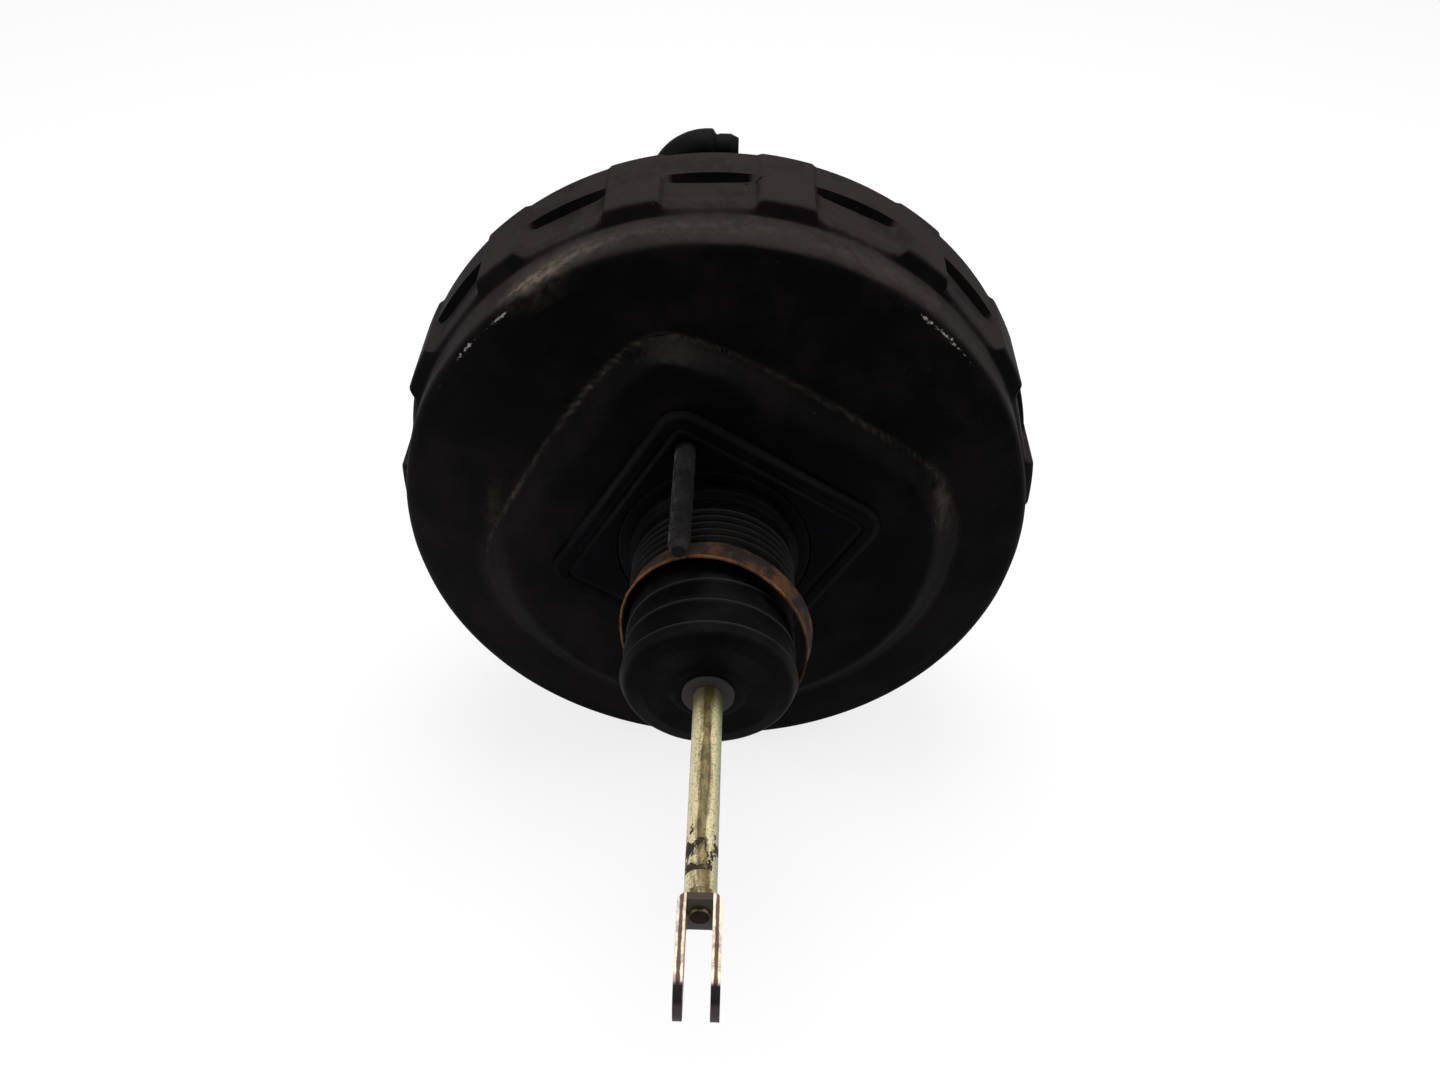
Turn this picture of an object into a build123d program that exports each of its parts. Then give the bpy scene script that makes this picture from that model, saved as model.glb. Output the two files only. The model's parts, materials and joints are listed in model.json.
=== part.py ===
"""Vacuum brake booster with its pedal pushrod, as separate pieces.

Frame: millimetres, +Z up. The drum axis is Y. The origin is on the axis, in the plane where the rear
gasket meets the bulkhead. The pedal side is -Y, the master cylinder side is +Y.
Stations named Y_... are places along the drum axis, worked out from the driving sizes.
"""

from build123d import *
import os
from math import cos, radians, sin

os.makedirs("parts", exist_ok=True)

# ---------------------------------------------------------------- driving sizes
SHEET = 2.0  # pressed steel of both shells
RUNNING = 0.05  # radial clearance of a sliding fit
SEAT_GAP = 0.3  # gap left where one piece rests on another of a moving body
CLOSE = 0.1  # gap between fixed pieces that lie against each other
PAST = 1.0  # how far a cutting tool runs past what it cuts
EDGE = 0.6  # rounding of small turned and moulded edges

# rear shell
GASKET_THICKNESS = 3.0
GASKET_WIDTH = 101.0  # across the flats of the square gasket
GASKET_CORNER = 11.0
GASKET_BEAD_INSET = 7.0  # embossed line, in from the gasket's edge
GASKET_BEAD_DEPTH = 0.8
GASKET_BEAD_WIDTH = 1.8
GASKET_STUD_HOLE = 5.2  # radius of the holes round the studs
PATTERN_TURN = -13.5  # how far the studs, gasket and plateau are turned from upright
PLATEAU_RADIUS = 87.5  # round part of the raised plateau, at its flat face
PLATEAU_FLAT_LEFT = 69.0  # axis to the upper left flat
PLATEAU_FLAT_RIGHT = 66.0  # axis to the upper right flat
PLATEAU_HEIGHT = 10.0
PLATEAU_DRAFT = 10.0  # how far the plateau's wall spreads to its foot
PLATEAU_CORNER = 14.0
PLATEAU_EDGE = 4.0
PLATEAU_BLEND = 30.0  # fillet between the plateau's foot and the domed face
FACE_DOME = 6.7  # how far the rear face falls from the plateau's foot to the shoulder
RIM_RADIUS = 132.5
SHOULDER_INSET = 6.1  # rim to the smaller shoulder behind it
SHOULDER_RADIUS = RIM_RADIUS - SHOULDER_INSET
SHOULDER_FILLET = 8.0
SHOULDER_LENGTH = 21.3
RAMP_LENGTH = 8.0  # cone from the shoulder out to the rim
RIM_LENGTH = 35.0
RIM_FILLET = 2.5
RAMP_FILLET = 4.0

# crimp pads pressed into the rim
PAD_COUNT = 14
PAD_FIRST_ANGLE = -2.2  # from +Z towards +X
PAD_DEPTH = 4.5  # rim to the pad's flat floor
LIP_DEPTH = 2.2  # rim to the flat in front of the pad
PAD_FLOOR = RIM_RADIUS - PAD_DEPTH
PAD_LIP = RIM_RADIUS - LIP_DEPTH
PAD_WIDTH = 33.0
PAD_SIDE_SLOPE = 0.8  # sideways run of the pad's side walls per unit of depth
PAD_LENGTH = 22.0
PAD_STEP = 2.0
PAD_SETBACK = 1.0  # rim's rear corner to the pad's floor
TAB_WIDTH = 15.0  # lugs bent in over the front shell's flange
TAB_REACH = 7.5

# neck of the rear shell
PILOT_RADIUS = 38.5  # raised ring round the neck, which centres the bulkhead hole
PILOT_HEIGHT = 3.0
PILOT_FILLET = 1.5
NECK_RADIUS = 28.5
NECK_LENGTH = 33.0
NECK_SEAL_LENGTH = 9.0
NECK_SEAL_LIP = 2.2  # how far the seal's web clears the tail beside its lip
NECK_BUSH_LENGTH = 12.0
NECK_BUSH_CHAMFER = 2.0
NECK_LIP = 2.6  # how far the neck's end turns in
NECK_END_FILLET = 1.5
NECK_ROOT_FILLET = 2.0

# studs
STUD_RADIUS = 4.0
STUD_COLLAR_RADIUS = 4.6  # plain collar pressed into the sheet
STUD_HEAD_RADIUS = 7.5
STUD_HEAD_HEIGHT = 3.5
REAR_STUD_CIRCLE = 99.0
REAR_STUD_LENGTH = 60.0
FRONT_STUD_CIRCLE = 84.0
FRONT_STUD_LENGTH = 24.0
STUD_POINT = 3.5
STUD_TIP_RADIUS = 2.6
REAR_PLATE_THICKNESS = 3.0
REAR_PLATE_RADIUS = 62.0
FRONT_PLATE_THICKNESS = 3.0
FRONT_PLATE_MARGIN = 0.5  # beyond the stud heads
FRONT_PLATE_RADIUS = FRONT_STUD_CIRCLE / 2 + STUD_HEAD_RADIUS + FRONT_PLATE_MARGIN
PLATE_CLEARANCE = 1.0  # round the pilot ring's inside

# front shell
FLANGE_CLEARANCE = 0.5
FRONT_WALL_INSET = 11.0  # rim to the bowl's wall
FRONT_WALL_RADIUS = RIM_RADIUS - FRONT_WALL_INSET
FRONT_WALL_LENGTH = 14.0
FRONT_STEP_INSET = 8.5  # wall to the end of the step
FRONT_STEP_RADIUS = FRONT_WALL_RADIUS - FRONT_STEP_INSET
FRONT_STEP_LENGTH = 8.0
FRONT_CONE_INSET = 7.0  # step to the end of the cone
FRONT_CONE_RADIUS = FRONT_STEP_RADIUS - FRONT_CONE_INSET
FRONT_CONE_LENGTH = 17.0
FRONT_FACE_RISE = 4.0
FRONT_BOSS_HEIGHT = 5.0
BOSS_FILLET = 3.0
FRONT_BOSS_RADIUS = FRONT_PLATE_RADIUS + BOSS_FILLET + SHEET
BOWL_FILLETS = (5.0, 4.0, 11.0, 4.0)  # wall, step, cone and face corners of the bowl
SEAL_CLEARANCE = 1.2  # between the seal ring and the pilot hole
SEAL_RECESS_RADIUS = 24.5
SEAL_RECESS_DEPTH = 2.4
SEAL_RING_THICKNESS = 3.0
PILOT_BORE = 19.0  # hole that takes the master cylinder's nose
COLLAR_LENGTH = 9.0

# check valve
CHECK_X = -25.0
CHECK_INSET = 26.0  # cone's end to the valve's axis, upwards
CHECK_Z = FRONT_CONE_RADIUS - CHECK_INSET
CHECK_BOSS_RADIUS = 17.0
CHECK_BOSS_HEIGHT = 0.8  # how far the valve's boss stands above the face round the main boss
CHECK_STEM_RADIUS = 7.0
CHECK_STEM_LENGTH = 12.0
CHECK_STEM_BORE = 3.6
GROMMET_WALL = 2.5
GROMMET_LIP = 2.5
CHECK_HOUSING_RADIUS = 12.5
CHECK_HOUSING_LENGTH = 20.0
CHECK_BASE_RIM = 3.5  # thickness of the base's collar, which the cap is welded to
CHECK_SEAT_RIDGE = 0.6
CHECK_RIDGE_HALF = 1.0
CHECK_TOP_FILLET = 4.0
CHECK_WALL = 2.0
CHECK_DISC_THICKNESS = 1.6
CHECK_DISC_CLEARANCE = 0.6
ELBOW_RADIUS = 8.0
ELBOW_SINK = 0.5  # how far the elbow lies under the housing's top
ELBOW_BORE = 3.6
ELBOW_BEND = 18.0
ELBOW_RISE = 11.2
ELBOW_RUN = 2.0
NIPPLE_RADIUS = 6.0
NIPPLE_ROOT = 2.0  # length of the groove between the elbow and the land
NIPPLE_LENGTH = 5.0  # land that grips the hose
NIPPLE_BARB = 0.8  # depth of the groove
NIPPLE_END = 3.4

# power piston
TAIL_RADIUS = 22.0
TAIL_BORE = 18.0
TAIL_LENGTH = 68.0  # from the bulkhead plane to the tail's open end
HUB_RADIUS = 36.0
HUB_LENGTH = 12.0
NOSE_RADIUS = 17.0
NOSE_LENGTH = 18.0
HUB_STEP = 4.0  # depth of the hub's shoulders
HUB_STEP_RADIUS = 30.0
NOSE_STEP_RADIUS = 26.0
DIAPHRAGM_SHEET = 1.6
DIAPHRAGM_FOLD = 19.4  # room for the fold between the plate and the shoulder
DIAPHRAGM_PLATE_RADIUS = SHOULDER_RADIUS - DIAPHRAGM_FOLD
DIAPHRAGM_PLATE_SHEET = 1.5
DIAPHRAGM_PLATE_DISH = 7.0
DIAPHRAGM_PLATE_ROLL = 8.0  # width of the edge that is rolled forward
PLATE_HUB_FLAT = 14.0  # flat seat round the hub
DISH_FILLET = 3.0
HUB_LIP = 1.0  # hub's rear shoulder behind the diaphragm's inner lip
BEAD_LENGTH = 4.2
BEAD_THICKNESS = 5.6
DIAPHRAGM_GAP = 1.5  # between the membrane and the shell's wall
REACTION_RADIUS = 12.0
REACTION_THICKNESS = 8.0
REACTION_GAP = 2.4  # idle gap between plunger and reaction disc
OUTPUT_ROD_RADIUS = 6.0
OUTPUT_HEAD_THICKNESS = 4.0
OUTPUT_ROD_LENGTH = 63.0
OUTPUT_TIP_RADIUS = 4.0
OUTPUT_TIP_LENGTH = 11.0
OUTPUT_HEX = 10.0
OUTPUT_HEX_HEIGHT = 5.0
OUTPUT_TIP_ROUND = 3.5
RETAINER_GRIP = 16.0
RETAINER_LIP = 2.0  # how far the cap's hole clears the output rod
RETAINER_SHEET = 1.2

# control valve
PLUNGER_RADIUS = 6.9
PLUNGER_GROOVE_RADIUS = 4.6
PLUNGER_TRAVEL = 2.0
PLUNGER_LAND = 12.0
PLUNGER_SKIRT_RADIUS = 10.4
SKIRT_REACH = 4.5  # the skirt's rim behind the ball
SKIRT_RIM = 0.9
SOCKET_CLEARANCE = 0.8  # round the rod's neck, for its swivel
KEY_THICKNESS = 3.0
KEY_WIDTH = 14.0
KEY_LENGTH = 40.0  # axis to the outer end
KEY_FORK = 11.0  # how far the fork reaches past the axis
SEAT_RADIUS = 13.6  # vacuum seat ridge
SEAT_RIDGE = 0.8  # height of the ridge
SEAT_WIDTH = 1.0
SEAT_WALL = 3.5
SKIRT_CLEARANCE = 0.6
SKIRT_LENGTH = 3.0
KEY_CLEARANCE = 0.2
CUFF_WALL = 1.4
CUFF_STEP = 1.2  # how far the cuff's sleeve lies inside the valve face
CUFF_BEAD = 1.8
BORE_STEP = 1.4  # how far the valve chamber is smaller than the tail's bore
RETAINER_WALL = 1.4
POPPET_TRAVEL = 1.0
POPPET_OUTER = 15.3
POPPET_INNER = 8.6
POPPET_THICKNESS = 2.4
CUFF_LENGTH = 11.0
POPPET_RETAINER_LENGTH = 7.0
VACUUM_PORT_COUNT = 6
VACUUM_PORT_RADIUS = 1.9
VACUUM_PORT_OFFSET = 2.6  # from the seat ridge out to the ports

# pushrod
BALL_RADIUS = 4.5
BALL_CLEARANCE = 0.1
BALL_STATION = -2.0
ROD_NECK_RADIUS = 3.3
ROD_NECK_END = -14.0
ROD_RADIUS = 5.25
ROD_COLLAR_RADIUS = 6.6
ROD_COLLAR_LENGTH = 4.0
ROD_SEAT_STATION = -42.0
ROD_SEAT_RADIUS = 13.0
ROD_SEAT_THICKNESS = 2.0
FORK_STATION = -174.0  # outer face of the fork's base
FORK_GAP = 8.2
FORK_SHEET = 2.8
FORK_BREADTH = 18.0
FORK_BASE_BREADTH = 15.0
FORK_FLARE = 10.0  # length over which the ears widen from the base
FORK_REACH = 29.5  # base's outer face to the pin hole
FORK_PIN_RADIUS = 4.1
FORK_BEND = 3.4
RIVET_RADIUS = 2.8
RIVET_HEAD_RADIUS = 3.4
RIVET_HEAD_HEIGHT = 1.2

# filters
FILTER_BORE = 9.6
CAP_SLOT_COUNT = 6
CAP_SLOT_RADIUS = 2.4
FILTER_LENGTH = 12.0
SILENCER_LENGTH = 7.0
TAIL_CAP_THICKNESS = 2.0

# boot, its band and its bush
BOOT_RADIUS = 31.9
BOOT_WALL = 1.6
BOOT_FOOT_RADIUS = 33.6
BOOT_FOOT_LENGTH = 4.0
BOOT_FOOT_SLOPE = 2.0
BOOT_SLEEVE_RADIUS = 30.9
BOOT_END = -80.4
BOOT_DOME = 6.0
BOOT_LIP = 3.0  # thickness of the lip that the bush holds
BOOT_GROOVE = 1.1
BOOT_GROOVE_WIDTH = 1.6
BOOT_GROOVES = (-52.0, -63.0, -73.5)  # stations of the grooves between the folds
BOOT_ROOT = 2.2  # chamfer that clears the fillet at the neck's root
SLEEVE_RIDGES = 4
SLEEVE_RIDGE_HEIGHT = 0.9
SLEEVE_RIDGE_HALF = 1.2
SLEEVE_END = 8.0  # where the sleeve starts to widen, behind the neck's end
SLEEVE_CONE = 3.0
SLEEVE_RIDGE_PITCH = 4.4
SLEEVE_RIDGE_FIRST = -15.5
BUSH_RADIUS = 9.4
BUSH_FLANGE = 1.6
BUSH_WAIST = 7.6
BAND_RADIUS = 34.9
BAND_SHEET = 0.9
BAND_WIDTH = 5.0
BAND_STATION = -45.5
BAND_SHIFT = 1.6
BAND_PITCH = 16.0  # the band's top leans towards the shell
BAND_YAW = -10.0
BAND_SPLIT = 8.0
BAND_SPLIT_ANGLE = 150.0  # from +Z towards +X

# springs: coil radius, wire radius, turns
RETURN_COIL, RETURN_WIRE, RETURN_TURNS = 31.0, 1.9, 5
INPUT_COIL, INPUT_WIRE, INPUT_TURNS = 11.6, 0.8, 4
POPPET_COIL, POPPET_WIRE, POPPET_TURNS = 10.6, 0.5, 3
CHECK_COIL, CHECK_WIRE, CHECK_TURNS = 5.5, 0.4, 3

# ---------------------------------------------------------------- stations along the drum axis
Y_PLATEAU = GASKET_THICKNESS
Y_FOOT = Y_PLATEAU + PLATEAU_HEIGHT
Y_SHOULDER = Y_FOOT + FACE_DOME
Y_RAMP = Y_SHOULDER + SHOULDER_LENGTH
Y_RIM = Y_RAMP + RAMP_LENGTH
Y_RIM_END = Y_RIM + RIM_LENGTH
Y_PAD = Y_RIM + PAD_SETBACK
Y_PAD_END = Y_PAD + PAD_LENGTH
Y_FLANGE = Y_PAD_END + SHEET + PAD_STEP + 2 * CLOSE
Y_TABS = Y_FLANGE + SHEET + 2 * CLOSE
Y_FRONT_WALL = Y_FLANGE + SHEET + FRONT_WALL_LENGTH
Y_FRONT_STEP = Y_FRONT_WALL + FRONT_STEP_LENGTH
Y_FRONT_CONE = Y_FRONT_STEP + FRONT_CONE_LENGTH
Y_FRONT_FACE = Y_FRONT_CONE + FRONT_FACE_RISE
Y_BOSS = Y_FRONT_FACE + FRONT_BOSS_HEIGHT
Y_RECESS = Y_BOSS - SEAL_RECESS_DEPTH
Y_COLLAR = Y_RECESS - COLLAR_LENGTH
Y_FRONT_PLATE = Y_BOSS - SHEET - FRONT_PLATE_THICKNESS
Y_CHECK = Y_FRONT_FACE + CHECK_BOSS_HEIGHT
Y_CHECK_HOUSING = Y_CHECK + GROMMET_LIP
Y_CHECK_CAP = Y_CHECK_HOUSING + CHECK_BASE_RIM + CLOSE
Y_CHECK_SEAT = Y_CHECK_HOUSING + CHECK_BASE_RIM + CHECK_SEAT_RIDGE
Y_CHECK_TOP = Y_CHECK_HOUSING + CHECK_HOUSING_LENGTH
Y_NIPPLE = Y_CHECK_TOP - ELBOW_SINK - ELBOW_RADIUS

Y_PILOT = Y_PLATEAU - PILOT_HEIGHT
Y_REAR_PLATE = Y_PLATEAU + SHEET
Y_KEY = Y_REAR_PLATE + REAR_PLATE_THICKNESS + SEAT_GAP
Y_HUB = Y_REAR_PLATE + REAR_PLATE_THICKNESS + STUD_HEAD_HEIGHT + 2 * SEAT_GAP
Y_HUB_END = Y_HUB + HUB_LENGTH
Y_PLUNGER_END = Y_KEY + KEY_THICKNESS + CLOSE + PLUNGER_LAND
Y_REACTION = Y_PLUNGER_END + REACTION_GAP
Y_OUTPUT_HEAD = Y_REACTION + REACTION_THICKNESS
Y_OUTPUT_SHAFT = Y_OUTPUT_HEAD + OUTPUT_HEAD_THICKNESS
Y_OUTPUT_END = Y_OUTPUT_SHAFT + OUTPUT_ROD_LENGTH
Y_NOSE_END = Y_HUB_END + NOSE_LENGTH

Y_SKIRT = BALL_STATION - BALL_RADIUS - SKIRT_REACH  # rim of the plunger that meets the poppet
Y_POPPET = Y_SKIRT - SEAT_GAP
Y_SEAT = Y_POPPET + POPPET_TRAVEL + SEAT_GAP / 2
Y_CUFF = Y_POPPET - POPPET_THICKNESS - CUFF_LENGTH
Y_SHOULDER_BORE = Y_CUFF + CUFF_BEAD + CLOSE
Y_RETAINER = Y_CUFF - CLOSE - POPPET_RETAINER_LENGTH
Y_TAIL = -TAIL_LENGTH
Y_FILTER = Y_TAIL + CLOSE
Y_SILENCER = Y_FILTER + FILTER_LENGTH
Y_NECK = Y_PILOT - NECK_LENGTH
Y_PIN = FORK_STATION - FORK_REACH

STUD_ANGLES = (PATTERN_TURN, PATTERN_TURN + 180)
FRONT_STUD_ANGLES = (-90, 90)
GROMMET_HOLE = CHECK_STEM_RADIUS + GROMMET_WALL
FORK_WIDTH = FORK_GAP + 2 * FORK_SHEET


# ---------------------------------------------------------------- helpers
def turned(*corners):
    """Solid of revolution about the drum axis. A corner is (radius, y) or (radius, y, rounding)."""
    points = [(c[0], c[1]) for c in corners]
    rounding = [c[2] if len(c) == 3 else 0 for c in corners]
    return revolve(make_face(FilletPolyline(*points, radius=rounding, close=True)), Axis.Y)


def bar(radius, y_from, y_to, x=0.0, z=0.0):
    """Round bar parallel to the drum axis."""
    return Pos(x, (y_from + y_to) / 2, z) * Rot(90, 0, 0) * Cylinder(radius, abs(y_to - y_from))


def polar(radius, angle):
    """Point (x, z) at a radius and at an angle from +Z towards +X."""
    return radius * sin(radians(angle)), radius * cos(radians(angle))


def coil(radius, wire, y_from, y_to, turns):
    """Compression spring of eight-sided wire round the drum axis, from y_from to y_to."""
    height = y_to - y_from - 2 * wire
    path = Helix(height / turns, height, radius, center=(0, y_from + wire, 0), direction=(0, 1, 0))
    section = Plane(path @ 0, z_dir=path % 0) * RegularPolygon(wire, 8)
    return sweep(section, path, is_frenet=True)


# ---------------------------------------------------------------- rear shell
def plateau_outline(inset, y):
    """Outline of the plateau: a circle with two flats that meet at the upper left."""
    radius = PLATEAU_RADIUS - inset
    outline = Circle(radius)
    for turn, flat in ((-90, PLATEAU_FLAT_LEFT), (0, PLATEAU_FLAT_RIGHT)):
        away = Rot(0, 0, -(PATTERN_TURN + 45 + turn)) * Pos(0, flat - inset + radius)
        outline -= away * Rectangle(4 * radius, 2 * radius)
    outline = fillet(outline.vertices(), PLATEAU_CORNER)
    return Plane((0, y, 0), x_dir=(1, 0, 0), z_dir=(0, -1, 0)) * outline


def plateau_block(inset):
    """The plateau's drafted block, or with inset the form of its inside."""
    shrink = inset * (2**0.5 - 1)  # keeps the sheet's thickness on a wall drafted at 45 degrees
    top = plateau_outline(shrink, Y_PLATEAU + inset)
    foot = plateau_outline(shrink - PLATEAU_DRAFT, Y_FOOT + inset)
    block = loft([foot, top])
    return fillet(block.edges().group_by(Axis.Y)[0], PLATEAU_EDGE - shrink)


def pad_cutters(inset):
    """One cutter per crimp pad: a flat floor, a sloped rear end and slanted side walls."""
    floor, lip = PAD_FLOOR - inset, PAD_LIP - inset
    shoulder, outside = SHOULDER_RADIUS - inset, RIM_RADIUS + 10 * PAST
    end = Y_PAD_END + inset
    start, finish = Y_RAMP - 3 * PAST, Y_RIM_END + 9 * PAST
    profile = Polyline((start, shoulder + 3 * PAST), (Y_RAMP + PAD_SETBACK, shoulder), (Y_PAD, floor),
                       (end, floor), (end + PAD_STEP, lip), (finish, lip), (finish, outside), (start, outside),
                       close=True)
    length = extrude(Plane.YZ * make_face(profile), RIM_RADIUS / 3, both=True)
    half = PAD_WIDTH / 2 + inset
    spread = half + PAD_SIDE_SLOPE * (outside - floor)
    below = floor - 9 * PAST
    slant = Polyline((-half, below), (-half, floor), (-spread, outside), (spread, outside), (half, floor),
                     (half, below), close=True)
    width = extrude(Plane.XZ * make_face(slant), -2 * Y_RIM_END)
    cutter = length & width
    step = 360 / PAD_COUNT
    return [Rot(0, PAD_FIRST_ANGLE + k * step, 0) * cutter for k in range(PAD_COUNT)]


def shell_body(inset):
    """Rear shell's outer form, or with inset the form of its inside."""
    body = turned(
        (0, Y_FOOT + inset),
        (PLATEAU_RADIUS + PLATEAU_DRAFT, Y_FOOT + inset, PLATEAU_BLEND),
        (SHOULDER_RADIUS - inset, Y_SHOULDER + inset, SHOULDER_FILLET),
        (SHOULDER_RADIUS - inset, Y_RAMP + inset / 2, RAMP_FILLET),
        (RIM_RADIUS - inset, Y_RIM + inset / 2, RAMP_FILLET),
        (RIM_RADIUS - inset, Y_RIM_END + inset, 0 if inset else RIM_FILLET),
        (0, Y_RIM_END + inset),
    )
    body += plateau_block(inset)
    body -= pad_cutters(inset)
    return body + turned((0, Y_PILOT + inset), (PILOT_RADIUS - inset, Y_PILOT + inset, PILOT_FILLET),
                         (PILOT_RADIUS - inset, Y_FOOT + inset), (0, Y_FOOT + inset))


def rim_tabs():
    """Lugs bent inward from the rim over the front shell's flange."""
    middle = RIM_RADIUS - (SHEET + TAB_REACH) / 2
    tab = Pos(0, Y_TABS + SHEET / 2, middle) * Box(TAB_WIDTH, SHEET, TAB_REACH)
    step = 360 / PAD_COUNT
    return [Rot(0, PAD_FIRST_ANGLE + (k + 0.5) * step, 0) * tab for k in range(PAD_COUNT)]


def rear_shell():
    """Rear shell: drafted plateau on a domed face, crimp pads and lugs on the rim, drawn neck."""
    shell = shell_body(0) - shell_body(SHEET)
    bore, root = NECK_RADIUS - SHEET, NECK_RADIUS + 2 * NECK_ROOT_FILLET
    shell -= bar(bore, Y_PILOT - PAST, Y_FOOT)
    neck = turned(
        (bore, Y_PILOT + SHEET), (bore, Y_NECK + SHEET), (bore - NECK_LIP, Y_NECK + SHEET),
        (bore - NECK_LIP, Y_NECK), (NECK_RADIUS, Y_NECK, NECK_END_FILLET),
        (NECK_RADIUS, Y_PILOT, NECK_ROOT_FILLET), (root, Y_PILOT), (root, Y_PILOT + SHEET),
    )
    shell += neck
    shell += rim_tabs()
    for angle in STUD_ANGLES:
        x, z = polar(REAR_STUD_CIRCLE / 2, angle)
        shell -= bar(STUD_COLLAR_RADIUS, Y_PILOT, Y_FOOT, x, z)
    return shell


def rear_plate():
    """Stiffening ring inside the plateau, which the stud heads bear on."""
    inner, front = PILOT_RADIUS + PLATE_CLEARANCE, Y_REAR_PLATE + REAR_PLATE_THICKNESS
    plate = turned((inner, Y_REAR_PLATE), (REAR_PLATE_RADIUS, Y_REAR_PLATE), (REAR_PLATE_RADIUS, front, EDGE),
                   (inner, front, EDGE))
    for angle in STUD_ANGLES:
        x, z = polar(REAR_STUD_CIRCLE / 2, angle)
        plate -= bar(STUD_COLLAR_RADIUS, Y_PILOT, Y_FOOT, x, z)
    return plate


def rear_studs():
    """Two studs with conical points, their heads behind the stiffening ring."""
    seat = Y_REAR_PLATE + REAR_PLATE_THICKNESS
    tip = -REAR_STUD_LENGTH
    return Compound(children=[stud(angle, REAR_STUD_CIRCLE, seat, Y_PLATEAU, tip) for angle in STUD_ANGLES])


def stud(angle, circle, y_seat, y_face, y_tip):
    """Stud whose head bears on y_seat, with a collar up to y_face and a conical point at y_tip."""
    x, z = polar(circle / 2, angle)
    way = 1 if y_tip > y_seat else -1
    y_head = y_seat - way * STUD_HEAD_HEIGHT
    return Pos(x, 0, z) * turned(
        (0, y_head), (STUD_HEAD_RADIUS, y_head), (STUD_HEAD_RADIUS, y_seat), (STUD_COLLAR_RADIUS, y_seat),
        (STUD_COLLAR_RADIUS, y_face), (STUD_RADIUS, y_face), (STUD_RADIUS, y_tip - way * STUD_POINT),
        (STUD_TIP_RADIUS, y_tip), (0, y_tip))


def square_prism(width, corner, y_from, y_to):
    """Rounded square prism along the axis, with a corner at PATTERN_TURN from +Z."""
    outline = Rot(0, 0, 45 - PATTERN_TURN) * RectangleRounded(width, width, corner)
    base = Plane((0, y_to, 0), x_dir=(1, 0, 0), z_dir=(0, -1, 0)) * outline
    return extrude(base, y_to - y_from)


def bulkhead_gasket():
    """Square gasket with an embossed line and a round hole for the pilot ring."""
    pad = square_prism(GASKET_WIDTH, GASKET_CORNER, 0, GASKET_THICKNESS)
    line = GASKET_WIDTH - 2 * GASKET_BEAD_INSET
    inner = line - 2 * GASKET_BEAD_WIDTH
    groove = square_prism(line, GASKET_CORNER, -PAST, GASKET_BEAD_DEPTH)
    groove -= square_prism(inner, GASKET_CORNER - GASKET_BEAD_WIDTH, -PAST, GASKET_BEAD_DEPTH)
    pad -= groove
    pad -= bar(PILOT_RADIUS + SEAT_GAP, -PAST, GASKET_THICKNESS + PAST)
    for angle in STUD_ANGLES:
        x, z = polar(REAR_STUD_CIRCLE / 2, angle)
        pad -= bar(GASKET_STUD_HOLE, -PAST, GASKET_THICKNESS + PAST, x, z)
    return pad


# ---------------------------------------------------------------- front shell
def front_bowl(inset):
    """Bowl's outer form, or with inset the form of its inside: wall, step, cone, face and boss."""
    start = Y_FLANGE - PAST if inset else Y_FLANGE + SHEET
    wall, step, cone, face = BOWL_FILLETS
    return turned(
        (0, start), (FRONT_WALL_RADIUS - inset, start),
        (FRONT_WALL_RADIUS - inset, Y_FRONT_WALL - inset, wall),
        (FRONT_STEP_RADIUS - inset, Y_FRONT_STEP - inset, step),
        (FRONT_CONE_RADIUS - inset, Y_FRONT_CONE - inset, cone),
        (FRONT_BOSS_RADIUS + FRONT_BOSS_HEIGHT - inset, Y_FRONT_FACE - inset, face),
        (FRONT_BOSS_RADIUS - inset, Y_BOSS - inset, BOSS_FILLET),
        (0, Y_BOSS - inset),
    )


def check_boss(inset):
    """Raised seat of the check valve, from the cone out to its flat face."""
    return bar(CHECK_BOSS_RADIUS - inset, Y_FRONT_STEP - inset, Y_CHECK - inset, CHECK_X, CHECK_Z)


def front_shell():
    """Front shell: flange, bowl, check valve seat, sealing recess and the pilot hole's collar."""
    flange_radius = PAD_LIP - SHEET - FLANGE_CLEARANCE
    inside = FRONT_WALL_RADIUS - SHEET
    shell = front_bowl(0) + check_boss(0) - front_bowl(SHEET) - check_boss(SHEET)
    shell += turned((inside, Y_FLANGE), (flange_radius, Y_FLANGE), (flange_radius, Y_FLANGE + SHEET),
                    (inside, Y_FLANGE + SHEET))
    shell -= bar(SEAL_RECESS_RADIUS, Y_COLLAR - PAST, Y_BOSS + PAST)
    back, side, rim = Y_RECESS - SHEET, SEAL_RECESS_RADIUS + SHEET, Y_BOSS - SHEET / 2
    shell += turned((PILOT_BORE, Y_COLLAR), (PILOT_BORE + SHEET, Y_COLLAR), (PILOT_BORE + SHEET, back),
                    (side, back), (side, rim), (SEAL_RECESS_RADIUS, rim), (SEAL_RECESS_RADIUS, Y_RECESS),
                    (PILOT_BORE, Y_RECESS, EDGE))
    shell -= bar(GROMMET_HOLE, Y_CHECK - 2 * SHEET, Y_CHECK + PAST, CHECK_X, CHECK_Z)
    return shell - front_stud_holes()


def front_stud_holes():
    """Cutters for the two master cylinder studs."""
    holes = []
    for angle in FRONT_STUD_ANGLES:
        x, z = polar(FRONT_STUD_CIRCLE / 2, angle)
        holes.append(bar(STUD_COLLAR_RADIUS, Y_FRONT_PLATE - PAST, Y_BOSS + PAST, x, z))
    return holes


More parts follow.
